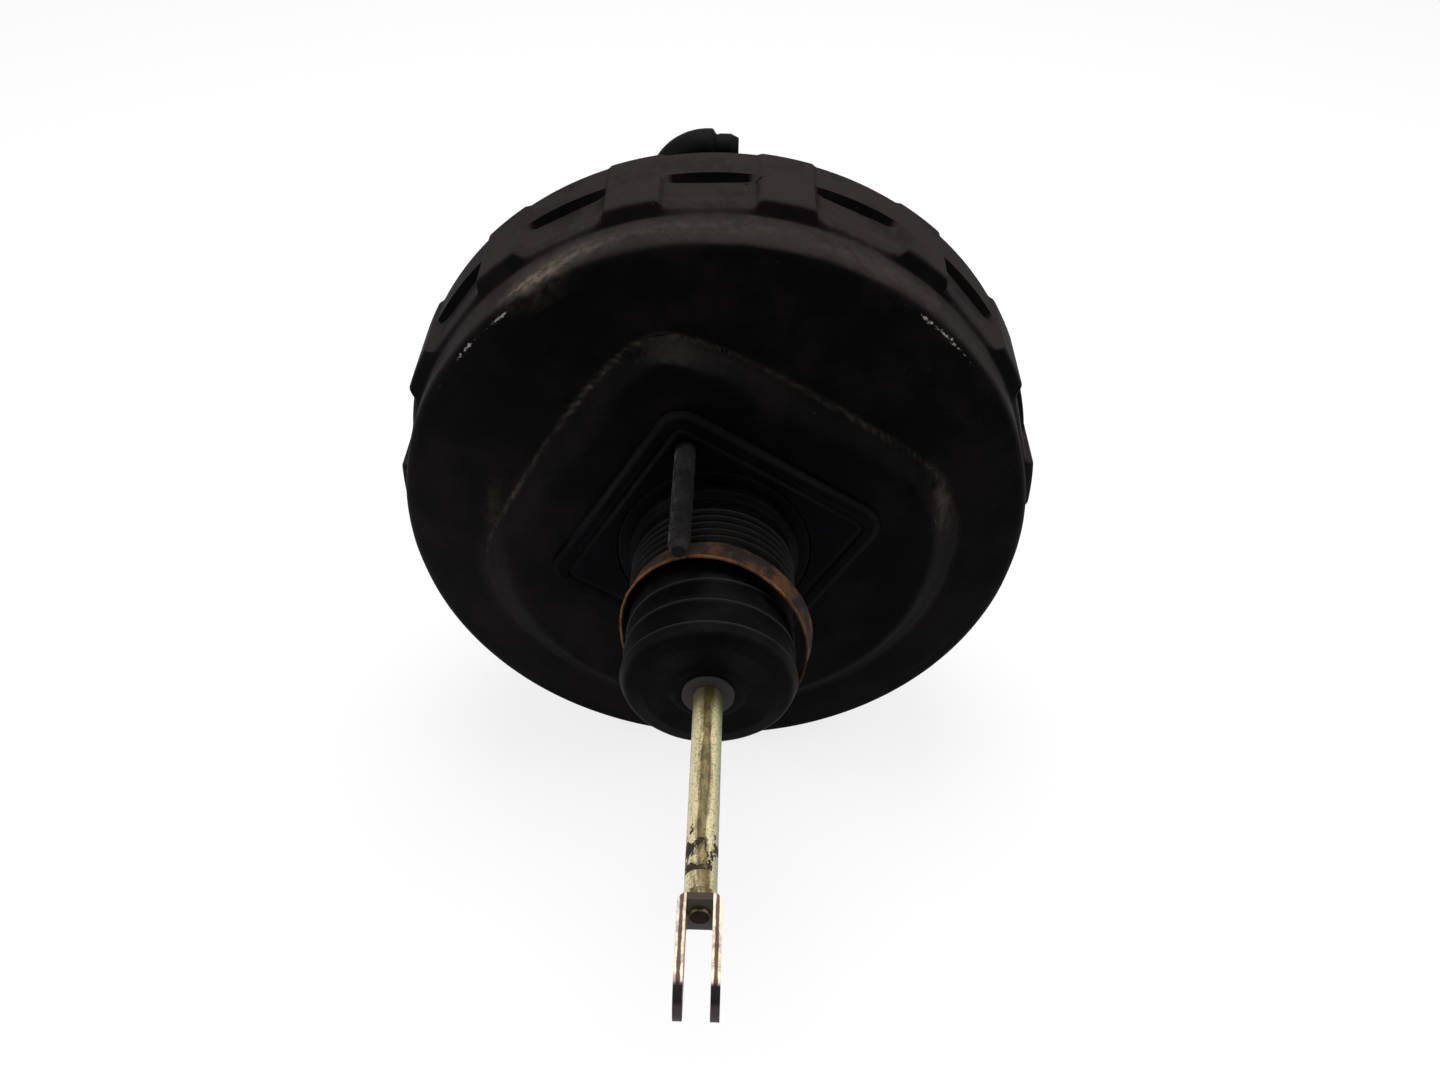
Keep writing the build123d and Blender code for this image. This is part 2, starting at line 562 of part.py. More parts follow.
def front_plate():
    """Stiffening ring inside the front boss, which carries the stud heads and the return spring."""
    inner = SEAL_RECESS_RADIUS + SHEET + SEAT_GAP
    back = Y_FRONT_PLATE + FRONT_PLATE_THICKNESS
    plate = turned((inner, Y_FRONT_PLATE), (FRONT_PLATE_RADIUS, Y_FRONT_PLATE, EDGE),
                   (FRONT_PLATE_RADIUS, back), (inner, back))
    return plate - front_stud_holes()


def front_studs():
    """Two studs for the master cylinder, their heads behind the stiffening ring."""
    tip = Y_BOSS + FRONT_STUD_LENGTH
    seat = Y_FRONT_PLATE
    return Compound(children=[stud(angle, FRONT_STUD_CIRCLE, seat, Y_BOSS, tip) for angle in FRONT_STUD_ANGLES])


def seal_ring():
    """Ring that seals the master cylinder's flange, seated in the recess of the boss."""
    inner, outer = PILOT_BORE + SEAL_CLEARANCE, SEAL_RECESS_RADIUS - CLOSE
    front = Y_RECESS + SEAL_RING_THICKNESS
    return turned((inner, Y_RECESS), (outer, Y_RECESS), (outer, front, EDGE), (inner, front, EDGE))


# ---------------------------------------------------------------- neck
def neck_seal():
    """Lip seal between the neck and the valve body's tail, held behind the neck's turned-in end."""
    outer = NECK_RADIUS - SHEET
    rear, front = Y_NECK + SHEET, Y_NECK + SHEET + NECK_SEAL_LENGTH
    lip, web = TAIL_RADIUS + SEAT_GAP, TAIL_RADIUS + NECK_SEAL_LIP
    third = NECK_SEAL_LENGTH / 3
    return turned((outer, rear), (web, rear), (lip, rear + third), (lip, rear + 1.5 * third),
                  (web, rear + 2 * third), (web, front), (outer, front))


def neck_bush():
    """Plain guide bush in front of the seal, in which the tail slides."""
    rear = Y_NECK + SHEET + NECK_SEAL_LENGTH
    front = rear + NECK_BUSH_LENGTH
    outer, bore = NECK_RADIUS - SHEET, TAIL_RADIUS + RUNNING
    return turned((outer, rear), (bore, rear), (bore, front), (outer - NECK_BUSH_CHAMFER, front),
                  (outer, front - NECK_BUSH_CHAMFER))


# ---------------------------------------------------------------- power piston
def valve_seat():
    """Ridge in the valve chamber that the poppet closes against."""
    inner, outer = SEAT_RADIUS - SEAT_WIDTH, SEAT_RADIUS + SEAT_WIDTH
    foot = Y_SEAT + SEAT_WALL
    return turned((inner, foot), (inner, Y_SEAT + SEAT_RIDGE), (SEAT_RADIUS, Y_SEAT),
                  (outer, Y_SEAT + SEAT_RIDGE), (outer, foot))


def valve_body():
    """Moulded valve body: tail, hub, nose, valve seat, plunger bore, key slot and vacuum ports."""
    body = turned(
        (0, Y_TAIL), (TAIL_RADIUS, Y_TAIL, EDGE), (TAIL_RADIUS, Y_HUB - HUB_STEP, 2 * EDGE),
        (HUB_STEP_RADIUS, Y_HUB - HUB_STEP), (HUB_STEP_RADIUS, Y_HUB + HUB_LIP),
        (HUB_RADIUS, Y_HUB + HUB_LIP, EDGE), (HUB_RADIUS, Y_HUB_END - HUB_STEP, EDGE),
        (NOSE_STEP_RADIUS, Y_HUB_END - HUB_STEP), (NOSE_STEP_RADIUS, Y_HUB_END, EDGE),
        (NOSE_RADIUS, Y_HUB_END, EDGE), (NOSE_RADIUS, Y_NOSE_END, EDGE), (0, Y_NOSE_END),
    )
    chamber = TAIL_BORE - BORE_STEP
    body -= bar(TAIL_BORE, Y_TAIL - PAST, Y_SHOULDER_BORE)
    body -= bar(chamber, Y_SHOULDER_BORE - PAST, Y_SEAT + SEAT_WALL - EDGE)
    body += valve_seat()
    body -= bar(PLUNGER_SKIRT_RADIUS + SKIRT_CLEARANCE, Y_SEAT - PAST, BALL_STATION + BALL_RADIUS)
    body -= bar(PLUNGER_RADIUS + RUNNING, Y_SEAT, Y_NOSE_END)
    body -= bar(REACTION_RADIUS + CLOSE, Y_REACTION, Y_NOSE_END + PAST)
    step = 360 / VACUUM_PORT_COUNT
    for k in range(VACUUM_PORT_COUNT):
        x, z = polar(SEAT_RADIUS + VACUUM_PORT_OFFSET, (k + 0.5) * step)
        body -= bar(VACUUM_PORT_RADIUS, Y_SEAT + SEAT_RIDGE, Y_HUB_END + PAST, x, z)
    slot = Box(KEY_WIDTH + 2 * KEY_CLEARANCE, KEY_THICKNESS + 2 * KEY_CLEARANCE, HUB_RADIUS + KEY_FORK + PAST)
    return body - Pos(0, Y_KEY + KEY_THICKNESS / 2, (HUB_RADIUS - KEY_FORK + PAST) / 2) * slot


def stop_key():
    """Forked key through the valve body, which limits the plunger and rests on the rear ring."""
    middle = Y_KEY + KEY_THICKNESS / 2
    key = Pos(0, middle, (KEY_LENGTH - KEY_FORK) / 2) * Box(KEY_WIDTH, KEY_THICKNESS, KEY_LENGTH + KEY_FORK)
    slot = PLUNGER_GROOVE_RADIUS + SEAT_GAP
    key -= Pos(0, middle, -KEY_FORK) * Box(2 * slot, KEY_THICKNESS + PAST, 2 * KEY_FORK)
    return key - bar(slot, Y_KEY - PAST, Y_KEY + KEY_THICKNESS + PAST)


def plate_line(shift, last_radius):
    """Rear line of the diaphragm plate from the hub to a radius, moved forward by shift."""
    hub, edge = HUB_RADIUS + CLOSE, DIAPHRAGM_PLATE_RADIUS
    back = Y_HUB + DIAPHRAGM_SHEET + HUB_LIP + CLOSE + shift
    low = back + DIAPHRAGM_PLATE_DISH
    start = edge - DIAPHRAGM_PLATE_ROLL
    flat = hub + PLATE_HUB_FLAT
    return [(hub, back), (flat, back, DISH_FILLET), (flat + DIAPHRAGM_PLATE_DISH, low, DISH_FILLET),
            (start, low, DISH_FILLET), (last_radius, low + last_radius - start)]


def diaphragm_plate():
    """Pressed steel plate in front of the diaphragm: hub seat, dish and forward rolled edge."""
    rear = plate_line(0, DIAPHRAGM_PLATE_RADIUS)
    front = plate_line(DIAPHRAGM_PLATE_SHEET, DIAPHRAGM_PLATE_RADIUS)
    return turned(*rear, *reversed(front))


def diaphragm():
    """Diaphragm: inner lip, web on the plate's rear, wall along the rear shell and outer bead."""
    wall = PAD_FLOOR - SHEET - DIAPHRAGM_GAP - DIAPHRAGM_SHEET
    bead = PAD_FLOOR - SHEET - CLOSE
    front = plate_line(-CLOSE, wall)
    rear = plate_line(-CLOSE - DIAPHRAGM_SHEET, wall + DIAPHRAGM_SHEET)
    y_bead = Y_FLANGE - BEAD_LENGTH
    inside = bead - BEAD_THICKNESS
    y_front = Y_FLANGE - CLOSE
    outer = [(wall, y_bead), (inside, y_bead, EDGE), (inside, y_front, EDGE), (bead, y_front, EDGE),
             (bead, y_bead, EDGE), (wall + DIAPHRAGM_SHEET, y_bead)]
    return turned(*front, *outer, *reversed(rear))


def reaction_disc():
    """Rubber disc that feeds the output force back to the plunger."""
    return turned((0, Y_REACTION), (REACTION_RADIUS, Y_REACTION, EDGE),
                  (REACTION_RADIUS, Y_OUTPUT_HEAD, EDGE), (0, Y_OUTPUT_HEAD))


def output_rod():
    """Output rod with its mushroom head, drilled at the end for the adjuster."""
    rod = turned((0, Y_OUTPUT_HEAD), (REACTION_RADIUS, Y_OUTPUT_HEAD), (REACTION_RADIUS, Y_OUTPUT_SHAFT),
                 (OUTPUT_ROD_RADIUS, Y_OUTPUT_SHAFT, EDGE), (OUTPUT_ROD_RADIUS, Y_OUTPUT_END),
                 (0, Y_OUTPUT_END))
    return rod - bar(OUTPUT_TIP_RADIUS, Y_OUTPUT_END - OUTPUT_TIP_LENGTH, Y_OUTPUT_END + PAST)


def output_adjuster():
    """Adjusting screw in the rod's end: shank, hexagon and ball nose."""
    front = Y_OUTPUT_END + OUTPUT_HEX_HEIGHT
    hexagon = Plane((0, Y_OUTPUT_END, 0), x_dir=(1, 0, 0), z_dir=(0, 1, 0)) * RegularPolygon(
        OUTPUT_HEX / 2, 6, major_radius=False)
    shank = bar(OUTPUT_TIP_RADIUS, Y_OUTPUT_END - OUTPUT_TIP_LENGTH + PAST, front)
    tip = front + 2 * OUTPUT_TIP_RADIUS - PAST
    nose = turned((0, front - PAST), (OUTPUT_TIP_RADIUS, front - PAST),
                  (OUTPUT_TIP_RADIUS, tip, OUTPUT_TIP_ROUND), (0, tip))
    return extrude(hexagon, OUTPUT_HEX_HEIGHT) + shank + nose


def output_retainer():
    """Pressed cap over the valve body's nose, which holds the output rod's head."""
    inner, hole = NOSE_RADIUS + CLOSE, OUTPUT_ROD_RADIUS + RETAINER_LIP
    outer = inner + RETAINER_SHEET
    back = Y_NOSE_END + CLOSE
    front = back + RETAINER_SHEET
    return turned((inner, back - RETAINER_GRIP), (outer, back - RETAINER_GRIP),
                  (outer, front, EDGE + RETAINER_SHEET), (hole, front), (hole, back), (inner, back, EDGE))


# ---------------------------------------------------------------- control valve
def control_plunger():
    """Plunger with its ball socket, key groove and the skirt whose rim is the air seat."""
    groove_front = Y_KEY + KEY_THICKNESS + CLOSE
    groove_rear = Y_KEY - PLUNGER_TRAVEL - 2 * CLOSE
    skirt = Y_SKIRT + SKIRT_LENGTH
    body = turned(
        (0, Y_PLUNGER_END), (PLUNGER_RADIUS, Y_PLUNGER_END, EDGE), (PLUNGER_RADIUS, groove_front),
        (PLUNGER_GROOVE_RADIUS, groove_front), (PLUNGER_GROOVE_RADIUS, groove_rear),
        (PLUNGER_RADIUS, groove_rear), (PLUNGER_RADIUS, BALL_STATION), (PLUNGER_SKIRT_RADIUS, skirt),
        (PLUNGER_SKIRT_RADIUS, Y_SKIRT), (PLUNGER_SKIRT_RADIUS - SKIRT_RIM, Y_SKIRT),
        (ROD_NECK_RADIUS + SKIRT_LENGTH, skirt), (0, skirt),
    )
    body -= Pos(0, BALL_STATION, 0) * Sphere(BALL_RADIUS + BALL_CLEARANCE)
    return body - bar(ROD_NECK_RADIUS + SOCKET_CLEARANCE, Y_SKIRT, BALL_STATION)


def poppet_valve():
    """Rubber valve face on a steel ring, pushed against both seats."""
    rear = Y_POPPET - POPPET_THICKNESS
    return turned((POPPET_INNER, Y_POPPET), (POPPET_OUTER, Y_POPPET, EDGE), (POPPET_OUTER, rear),
                  (POPPET_INNER, rear))


def poppet_cuff():
    """Rubber cuff behind the valve face, with the bead that its sleeve clamps."""
    face = Y_POPPET - POPPET_THICKNESS - SEAT_GAP
    outer = POPPET_OUTER - CUFF_STEP
    inner, bore = outer - CUFF_WALL, TAIL_BORE - CLOSE
    bead = Y_CUFF + CUFF_BEAD
    return turned((inner, face), (outer, face), (outer, bead), (bore, bead, EDGE), (bore, Y_CUFF, EDGE),
                  (inner, Y_CUFF, EDGE))


def poppet_retainer():
    """Sleeve pressed into the tail behind the cuff; both valve springs bear on its lip."""
    bore, lip = TAIL_BORE - RUNNING, INPUT_COIL - INPUT_WIRE - RETAINER_WALL
    front = Y_CUFF - CLOSE
    back = front - RETAINER_WALL
    return turned((bore, Y_RETAINER), (bore, front), (lip, front), (lip, back),
                  (bore - RETAINER_WALL, back, EDGE), (bore - RETAINER_WALL, Y_RETAINER))


def poppet_spring():
    """Light spring that pushes the valve face against its seats."""
    return coil(POPPET_COIL, POPPET_WIRE, Y_CUFF, Y_POPPET - POPPET_THICKNESS - CLOSE, POPPET_TURNS)


def input_spring():
    """Spring that pushes the pushrod back when the pedal is let go."""
    seat = ROD_SEAT_STATION + ROD_SEAT_THICKNESS + CLOSE
    return coil(INPUT_COIL, INPUT_WIRE, seat, Y_CUFF - RETAINER_WALL - 2 * CLOSE, INPUT_TURNS)


def return_spring():
    """Large spring between the hub and the front ring."""
    return coil(RETURN_COIL, RETURN_WIRE, Y_HUB_END - HUB_STEP + CLOSE, Y_FRONT_PLATE - CLOSE, RETURN_TURNS)


# ---------------------------------------------------------------- pushrod and fork
def input_pushrod():
    """Pushrod: ball end, neck, shaft, collar and the spigot that is riveted through the fork."""
    collar = FORK_STATION + ROD_COLLAR_LENGTH
    inside = FORK_STATION - FORK_SHEET
    shaft = turned(
        (0, BALL_STATION), (ROD_NECK_RADIUS, BALL_STATION), (ROD_NECK_RADIUS, ROD_NECK_END),
        (ROD_RADIUS, ROD_NECK_END - 2 * (ROD_RADIUS - ROD_NECK_RADIUS)), (ROD_RADIUS, collar),
        (ROD_COLLAR_RADIUS, collar - ROD_COLLAR_RADIUS + ROD_RADIUS), (ROD_COLLAR_RADIUS, FORK_STATION),
        (RIVET_RADIUS, FORK_STATION), (RIVET_RADIUS, inside), (RIVET_HEAD_RADIUS, inside),
        (RIVET_HEAD_RADIUS, inside - RIVET_HEAD_HEIGHT, EDGE), (0, inside - RIVET_HEAD_HEIGHT),
    )
    return shaft + Pos(0, BALL_STATION, 0) * Sphere(BALL_RADIUS)


def rod_seat():
    """Washer on the rod that carries the valve's return spring."""
    front = ROD_SEAT_STATION + ROD_SEAT_THICKNESS
    return turned((ROD_RADIUS, ROD_SEAT_STATION), (ROD_SEAT_RADIUS, ROD_SEAT_STATION),
                  (ROD_SEAT_RADIUS, front), (ROD_RADIUS, front))


def clevis_fork():
    """Fork bent from sheet: base with the rivet hole, two ears with rounded ends and a pin hole."""
    half, tip = FORK_WIDTH / 2, Y_PIN - FORK_BREADTH / 2
    inner, inside = half - FORK_SHEET, FORK_STATION - FORK_SHEET
    channel = Plane.XY * FilletPolyline(
        (-half, tip), (-half, FORK_STATION), (half, FORK_STATION), (half, tip), (inner, tip), (inner, inside),
        (-inner, inside), (-inner, tip), radius=[0, FORK_BEND, FORK_BEND, 0, 0, EDGE, EDGE, 0], close=True)
    ears = extrude(make_face(channel), FORK_BREADTH / 2, both=True)
    base, end = FORK_BASE_BREADTH / 2, FORK_BREADTH / 2
    flare = Y_PIN + end
    side = Polyline((FORK_STATION + PAST, base), (FORK_STATION + PAST, -base), (flare + FORK_FLARE, -base),
                    (flare, -end), (Y_PIN, -end), (Y_PIN, end), (flare, end), (flare + FORK_FLARE, base),
                    close=True)
    profile = make_face(side) + Pos(Y_PIN, 0) * Circle(end)
    ears &= extrude(Plane.YZ * profile, half + PAST, both=True)
    ears -= bar(RIVET_RADIUS, FORK_STATION + PAST, inside - PAST)
    return ears - Pos(0, Y_PIN, 0) * Rot(0, 90, 0) * Cylinder(FORK_PIN_RADIUS, FORK_WIDTH + 2 * PAST)


# ---------------------------------------------------------------- filters
def tail_ring(y_from, length):
    """Soft ring that fills the tail round the rod."""
    outer, y_to = TAIL_BORE - CLOSE, y_from + length
    return turned((FILTER_BORE, y_from), (outer, y_from, EDGE), (outer, y_to, EDGE), (FILTER_BORE, y_to))


def air_filter():
    """Fleece ring just inside the tail's end."""
    return tail_ring(Y_FILTER, FILTER_LENGTH)


def silencer():
    """Foam ring in front of the filter."""
    return tail_ring(Y_SILENCER, SILENCER_LENGTH)


def tail_cap():
    """Slotted ring over the tail's end, which keeps the filter in."""
    y, inner, outer = Y_TAIL - TAIL_CAP_THICKNESS, FILTER_BORE + SEAT_GAP, TAIL_RADIUS - EDGE
    cap = turned((inner, y), (outer, y, EDGE), (outer, Y_TAIL), (inner, Y_TAIL))
    for k in range(CAP_SLOT_COUNT):
        x, z = polar((FILTER_BORE + TAIL_BORE) / 2, k * 360 / CAP_SLOT_COUNT)
        cap -= bar(CAP_SLOT_RADIUS, y - PAST, Y_TAIL + PAST, x, z)
    return cap


# ---------------------------------------------------------------- boot
def boot():
    """Rubber boot: foot on the pilot ring, ridged sleeve over the neck, folds, dome with the rod's hole."""
    bore, rim, sleeve = NECK_RADIUS + CLOSE, BOOT_RADIUS, BOOT_SLEEVE_RADIUS
    foot, lip = Y_PILOT - BOOT_FOOT_LENGTH, BUSH_WAIST + SEAT_GAP
    cone, shoulder = Y_NECK - SLEEVE_END, BOOT_END + BOOT_DOME
    half = BOOT_GROOVE_WIDTH / 2
    line = [(bore, Y_PILOT - BOOT_ROOT), (bore + BOOT_ROOT, Y_PILOT - CLOSE),
            (BOOT_FOOT_RADIUS, Y_PILOT - CLOSE), (BOOT_FOOT_RADIUS, foot), (sleeve, foot - BOOT_FOOT_SLOPE)]
    for k in range(SLEEVE_RIDGES):
        y = SLEEVE_RIDGE_FIRST - k * SLEEVE_RIDGE_PITCH
        line += [(sleeve, y + SLEEVE_RIDGE_HALF), (sleeve + SLEEVE_RIDGE_HEIGHT, y),
                 (sleeve, y - SLEEVE_RIDGE_HALF)]
    line += [(sleeve, cone), (rim, cone - SLEEVE_CONE)]
    for y in BOOT_GROOVES:
        line += [(rim, y + half), (rim - BOOT_GROOVE, y), (rim, y - half)]
    line += [(rim, shoulder), (rim - BOOT_DOME, BOOT_END + BOOT_WALL, BOOT_DOME / 2), (lip, BOOT_END)]
    inner = rim - BOOT_GROOVE - BOOT_WALL
    line += [(lip, BOOT_END + BOOT_LIP), (inner - BOOT_DOME, BOOT_END + BOOT_LIP + BOOT_WALL),
             (inner, shoulder + BOOT_WALL), (inner, Y_NECK - CLOSE), (bore, Y_NECK - CLOSE)]
    return turned(*line)


def boot_bush():
    """Nylon bush on the rod: two flanges with the boot's lip between them."""
    rear = BOOT_END - SEAT_GAP
    front = BOOT_END + BOOT_LIP + SEAT_GAP
    bore = ROD_RADIUS + RUNNING
    return turned((bore, rear - BUSH_FLANGE), (BUSH_RADIUS, rear - BUSH_FLANGE, EDGE), (BUSH_RADIUS, rear),
                  (BUSH_WAIST, rear), (BUSH_WAIST, front), (BUSH_RADIUS, front),
                  (BUSH_RADIUS, front + BUSH_FLANGE, EDGE), (bore, front + BUSH_FLANGE))


def boot_band():
    """Open steel band that lies aslant round the boot."""
    ring = turned((BAND_RADIUS, -BAND_WIDTH / 2), (BAND_RADIUS + BAND_SHEET, -BAND_WIDTH / 2),
                  (BAND_RADIUS + BAND_SHEET, BAND_WIDTH / 2), (BAND_RADIUS, BAND_WIDTH / 2))
    gap = Box(BAND_SPLIT, BAND_WIDTH + PAST, 4 * BAND_SHEET)
    ring -= Rot(0, BAND_SPLIT_ANGLE, 0) * Pos(0, 0, BAND_RADIUS) * gap
    return Pos(BAND_SHIFT, BAND_STATION, 0) * Rot(BAND_PITCH, 0, BAND_YAW) * ring


# ---------------------------------------------------------------- check valve
def at_check(shape):
    """Moves a shape made on the drum axis to the check valve's axis."""
    return Pos(CHECK_X, 0, CHECK_Z) * shape


def check_grommet():
    """Rubber grommet gripping the front shell's sheet round the valve's stem."""
    inside, front = Y_CHECK - SHEET, Y_CHECK + GROMMET_LIP
    hole, outer = GROMMET_HOLE, GROMMET_HOLE + GROMMET_LIP
    return at_check(turned(
        (CHECK_STEM_RADIUS, inside - GROMMET_LIP), (outer, inside - GROMMET_LIP, EDGE), (outer, inside),
        (hole, inside), (hole, Y_CHECK), (outer, Y_CHECK), (outer, front, EDGE), (CHECK_STEM_RADIUS, front)))


def check_base():
    """Lower half of the check valve: hollow stem, collar and valve seat."""
    y = Y_CHECK_HOUSING
    rim = y + CHECK_BASE_RIM
    return at_check(turned(
        (CHECK_STEM_BORE, y - CHECK_STEM_LENGTH), (CHECK_STEM_RADIUS, y - CHECK_STEM_LENGTH, EDGE),
        (CHECK_STEM_RADIUS, y), (CHECK_HOUSING_RADIUS, y, EDGE), (CHECK_HOUSING_RADIUS, rim),
        (CHECK_STEM_BORE + 2 * CHECK_RIDGE_HALF, rim), (CHECK_STEM_BORE + CHECK_RIDGE_HALF, Y_CHECK_SEAT),
        (CHECK_STEM_BORE, rim)))


def elbow_route():
    """Centre line of the hose elbow: out of the housing towards +Z, then round to +X."""
    start = Vector(CHECK_X, Y_NIPPLE, CHECK_Z)
    knee = start + Vector(0, 0, ELBOW_RISE + ELBOW_BEND)
    end = knee + Vector(ELBOW_BEND + ELBOW_RUN, 0, 0)
    return FilletPolyline(start, knee, end, radius=ELBOW_BEND)


def check_cap():
    """Upper half of the check valve: cup and the bent hose nipple, which ends towards +X."""
    route = elbow_route()
    start = Plane(route @ 0, z_dir=(0, 0, 1))
    spout = Plane(route @ 1, z_dir=(1, 0, 0))
    cap = at_check(turned((0, Y_CHECK_CAP), (CHECK_HOUSING_RADIUS, Y_CHECK_CAP),
                          (CHECK_HOUSING_RADIUS, Y_CHECK_TOP, CHECK_TOP_FILLET), (0, Y_CHECK_TOP)))
    cap += sweep(start * Circle(ELBOW_RADIUS), route)
    land, length = NIPPLE_ROOT + NIPPLE_LENGTH, NIPPLE_ROOT + NIPPLE_LENGTH + NIPPLE_END
    cap += spout * Pos(0, 0, land / 2) * Cylinder(NIPPLE_RADIUS - NIPPLE_BARB, land)
    cap += spout * Pos(0, 0, NIPPLE_ROOT + NIPPLE_LENGTH / 2) * Cylinder(NIPPLE_RADIUS, NIPPLE_LENGTH)
    cap += spout * Pos(0, 0, land + NIPPLE_END / 2) * Cone(
        NIPPLE_RADIUS, NIPPLE_RADIUS - 2 * NIPPLE_BARB, NIPPLE_END)
    cap -= at_check(bar(CHECK_HOUSING_RADIUS - CHECK_WALL, Y_CHECK_CAP - PAST, Y_CHECK_TOP - CHECK_WALL))
    cap -= sweep(start * Circle(ELBOW_BORE), route)
    return cap - spout * Pos(0, 0, length / 2) * Cylinder(ELBOW_BORE, length + 2 * PAST)


def check_disc():
    """Disc that seals on the base's ridge."""
    y = Y_CHECK_SEAT + SEAT_GAP
    radius = CHECK_HOUSING_RADIUS - CHECK_WALL - CHECK_DISC_CLEARANCE
    top = y + CHECK_DISC_THICKNESS
    return at_check(turned((0, y), (radius, y, EDGE), (radius, top), (0, top)))


def check_spring():
    """Light spring between the disc and the cup's ceiling."""
    y = Y_CHECK_SEAT + SEAT_GAP + CHECK_DISC_THICKNESS + CLOSE
    return at_check(coil(CHECK_COIL, CHECK_WIRE, y, Y_CHECK_TOP - CHECK_WALL - CLOSE, CHECK_TURNS))


# ---------------------------------------------------------------- the nodes
NODES = {
    "rear_shell": rear_shell,
    "rear_plate": rear_plate,
    "rear_studs": rear_studs,
    "bulkhead_gasket": bulkhead_gasket,
    "front_shell": front_shell,
    "front_plate": front_plate,
    "front_studs": front_studs,
    "seal_ring": seal_ring,
    "neck_seal": neck_seal,
    "neck_bush": neck_bush,
    "valve_body": valve_body,
    "stop_key": stop_key,
    "diaphragm_plate": diaphragm_plate,
    "diaphragm": diaphragm,
    "reaction_disc": reaction_disc,
    "output_rod": output_rod,
    "output_adjuster": output_adjuster,
    "output_retainer": output_retainer,
    "return_spring": return_spring,
    "control_plunger": control_plunger,
    "poppet_valve": poppet_valve,
    "poppet_cuff": poppet_cuff,
    "poppet_retainer": poppet_retainer,
    "poppet_spring": poppet_spring,
    "input_spring": input_spring,
    "input_pushrod": input_pushrod,
    "rod_seat": rod_seat,
    "clevis_fork": clevis_fork,
    "air_filter": air_filter,
    "silencer": silencer,
    "tail_cap": tail_cap,
    "boot": boot,
    "boot_bush": boot_bush,
    "boot_band": boot_band,
    "check_grommet": check_grommet,
    "check_base": check_base,
    "check_cap": check_cap,
    "check_disc": check_disc,
    "check_spring": check_spring,
}

for name, make in NODES.items():
    export_step(make(), f"parts/{name}.step")
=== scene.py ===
"""Looks of a vacuum brake booster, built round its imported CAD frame.

Lengths in the classes are millimetres in the frame of the CAD: the drum axis is Y, the pedal side is -Y,
+Z is up. Angles are degrees from +Z towards +X. Meshes are scaled to metres when they are made.
"""

from __future__ import annotations

import json
import logging
import math
from dataclasses import dataclass, field
from enum import Enum
from typing import Callable, Sequence

import bmesh
import bpy
import numpy as np
from mathutils import Matrix, Vector

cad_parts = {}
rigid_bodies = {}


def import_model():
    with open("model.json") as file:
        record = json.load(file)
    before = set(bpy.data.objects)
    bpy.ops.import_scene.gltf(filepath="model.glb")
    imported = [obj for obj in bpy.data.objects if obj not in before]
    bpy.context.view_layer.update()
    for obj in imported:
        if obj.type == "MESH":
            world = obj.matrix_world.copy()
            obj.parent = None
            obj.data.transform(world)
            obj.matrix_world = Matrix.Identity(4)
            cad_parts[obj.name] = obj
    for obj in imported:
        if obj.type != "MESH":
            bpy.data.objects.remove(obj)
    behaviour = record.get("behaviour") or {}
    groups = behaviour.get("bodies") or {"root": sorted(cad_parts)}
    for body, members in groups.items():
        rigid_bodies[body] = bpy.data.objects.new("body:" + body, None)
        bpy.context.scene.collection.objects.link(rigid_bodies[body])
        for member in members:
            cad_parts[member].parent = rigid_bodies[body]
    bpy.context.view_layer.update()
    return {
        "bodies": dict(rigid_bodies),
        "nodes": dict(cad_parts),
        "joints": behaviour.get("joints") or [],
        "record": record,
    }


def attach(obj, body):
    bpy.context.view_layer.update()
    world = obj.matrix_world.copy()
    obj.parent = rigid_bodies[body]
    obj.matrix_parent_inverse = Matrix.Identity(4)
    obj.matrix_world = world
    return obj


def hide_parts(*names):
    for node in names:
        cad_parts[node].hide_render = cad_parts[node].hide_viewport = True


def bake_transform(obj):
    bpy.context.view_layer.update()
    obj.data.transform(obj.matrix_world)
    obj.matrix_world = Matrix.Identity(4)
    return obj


LOG = logging.getLogger("booster")
MM = 0.001
DULL_IOR = 1.3

Array = np.ndarray
Colour = tuple[float, float, float]
Marks = tuple[tuple[float, ...], ...]
Socket = bpy.types.NodeSocket


# ---------------------------------------------------------------- numbers and curves
def smooth_step(low: float, high: float, value: Array) -> Array:
    """Cubic ramp from 0 at low to 1 at high.

    Args:
        low: value where the ramp starts.
        high: value where it ends, which may be below low.
        value: places to read it at.

    Returns:
        The ramp, between 0 and 1.
    """
    t = np.clip((value - low) / (high - low), 0.0, 1.0)
    return t * t * (3.0 - 2.0 * t)


def soft_min(a: Array, b: Array, width: float) -> Array:
    """Lesser of two fields, with a parabola of the given width in the corner where they cross."""
    blend = np.clip(0.5 + 0.5 * (b - a) / width, 0.0, 1.0)
    return b + (a - b) * blend - width * blend * (1.0 - blend)


def soft_max(a: Array, b: Array, width: float) -> Array:
    """Greater of two fields, with a parabola of the given width in the corner where they cross."""
    return -soft_min(-a, -b, width)


def bump_at(x: Array, y: Array, cx: float, cy: float, rx: float, ry: float, turn: float = 0.0) -> Array:
    """Bell of height 1 over an ellipse: exp(-(u/rx)^2 - (v/ry)^2) with u, v turned by an angle.

    Args:
        x: first coordinate.
        y: second coordinate.
        cx: middle of the ellipse along x.
        cy: middle along y.
        rx: half width.
        ry: half height.
        turn: angle of the ellipse in degrees.

    Returns:
        The bell's height at each place.
    """
    c, s = math.cos(math.radians(turn)), math.sin(math.radians(turn))
    u, v = (x - cx) * c + (y - cy) * s, (y - cy) * c - (x - cx) * s
    return np.exp(-((u / rx) ** 2) - (v / ry) ** 2)


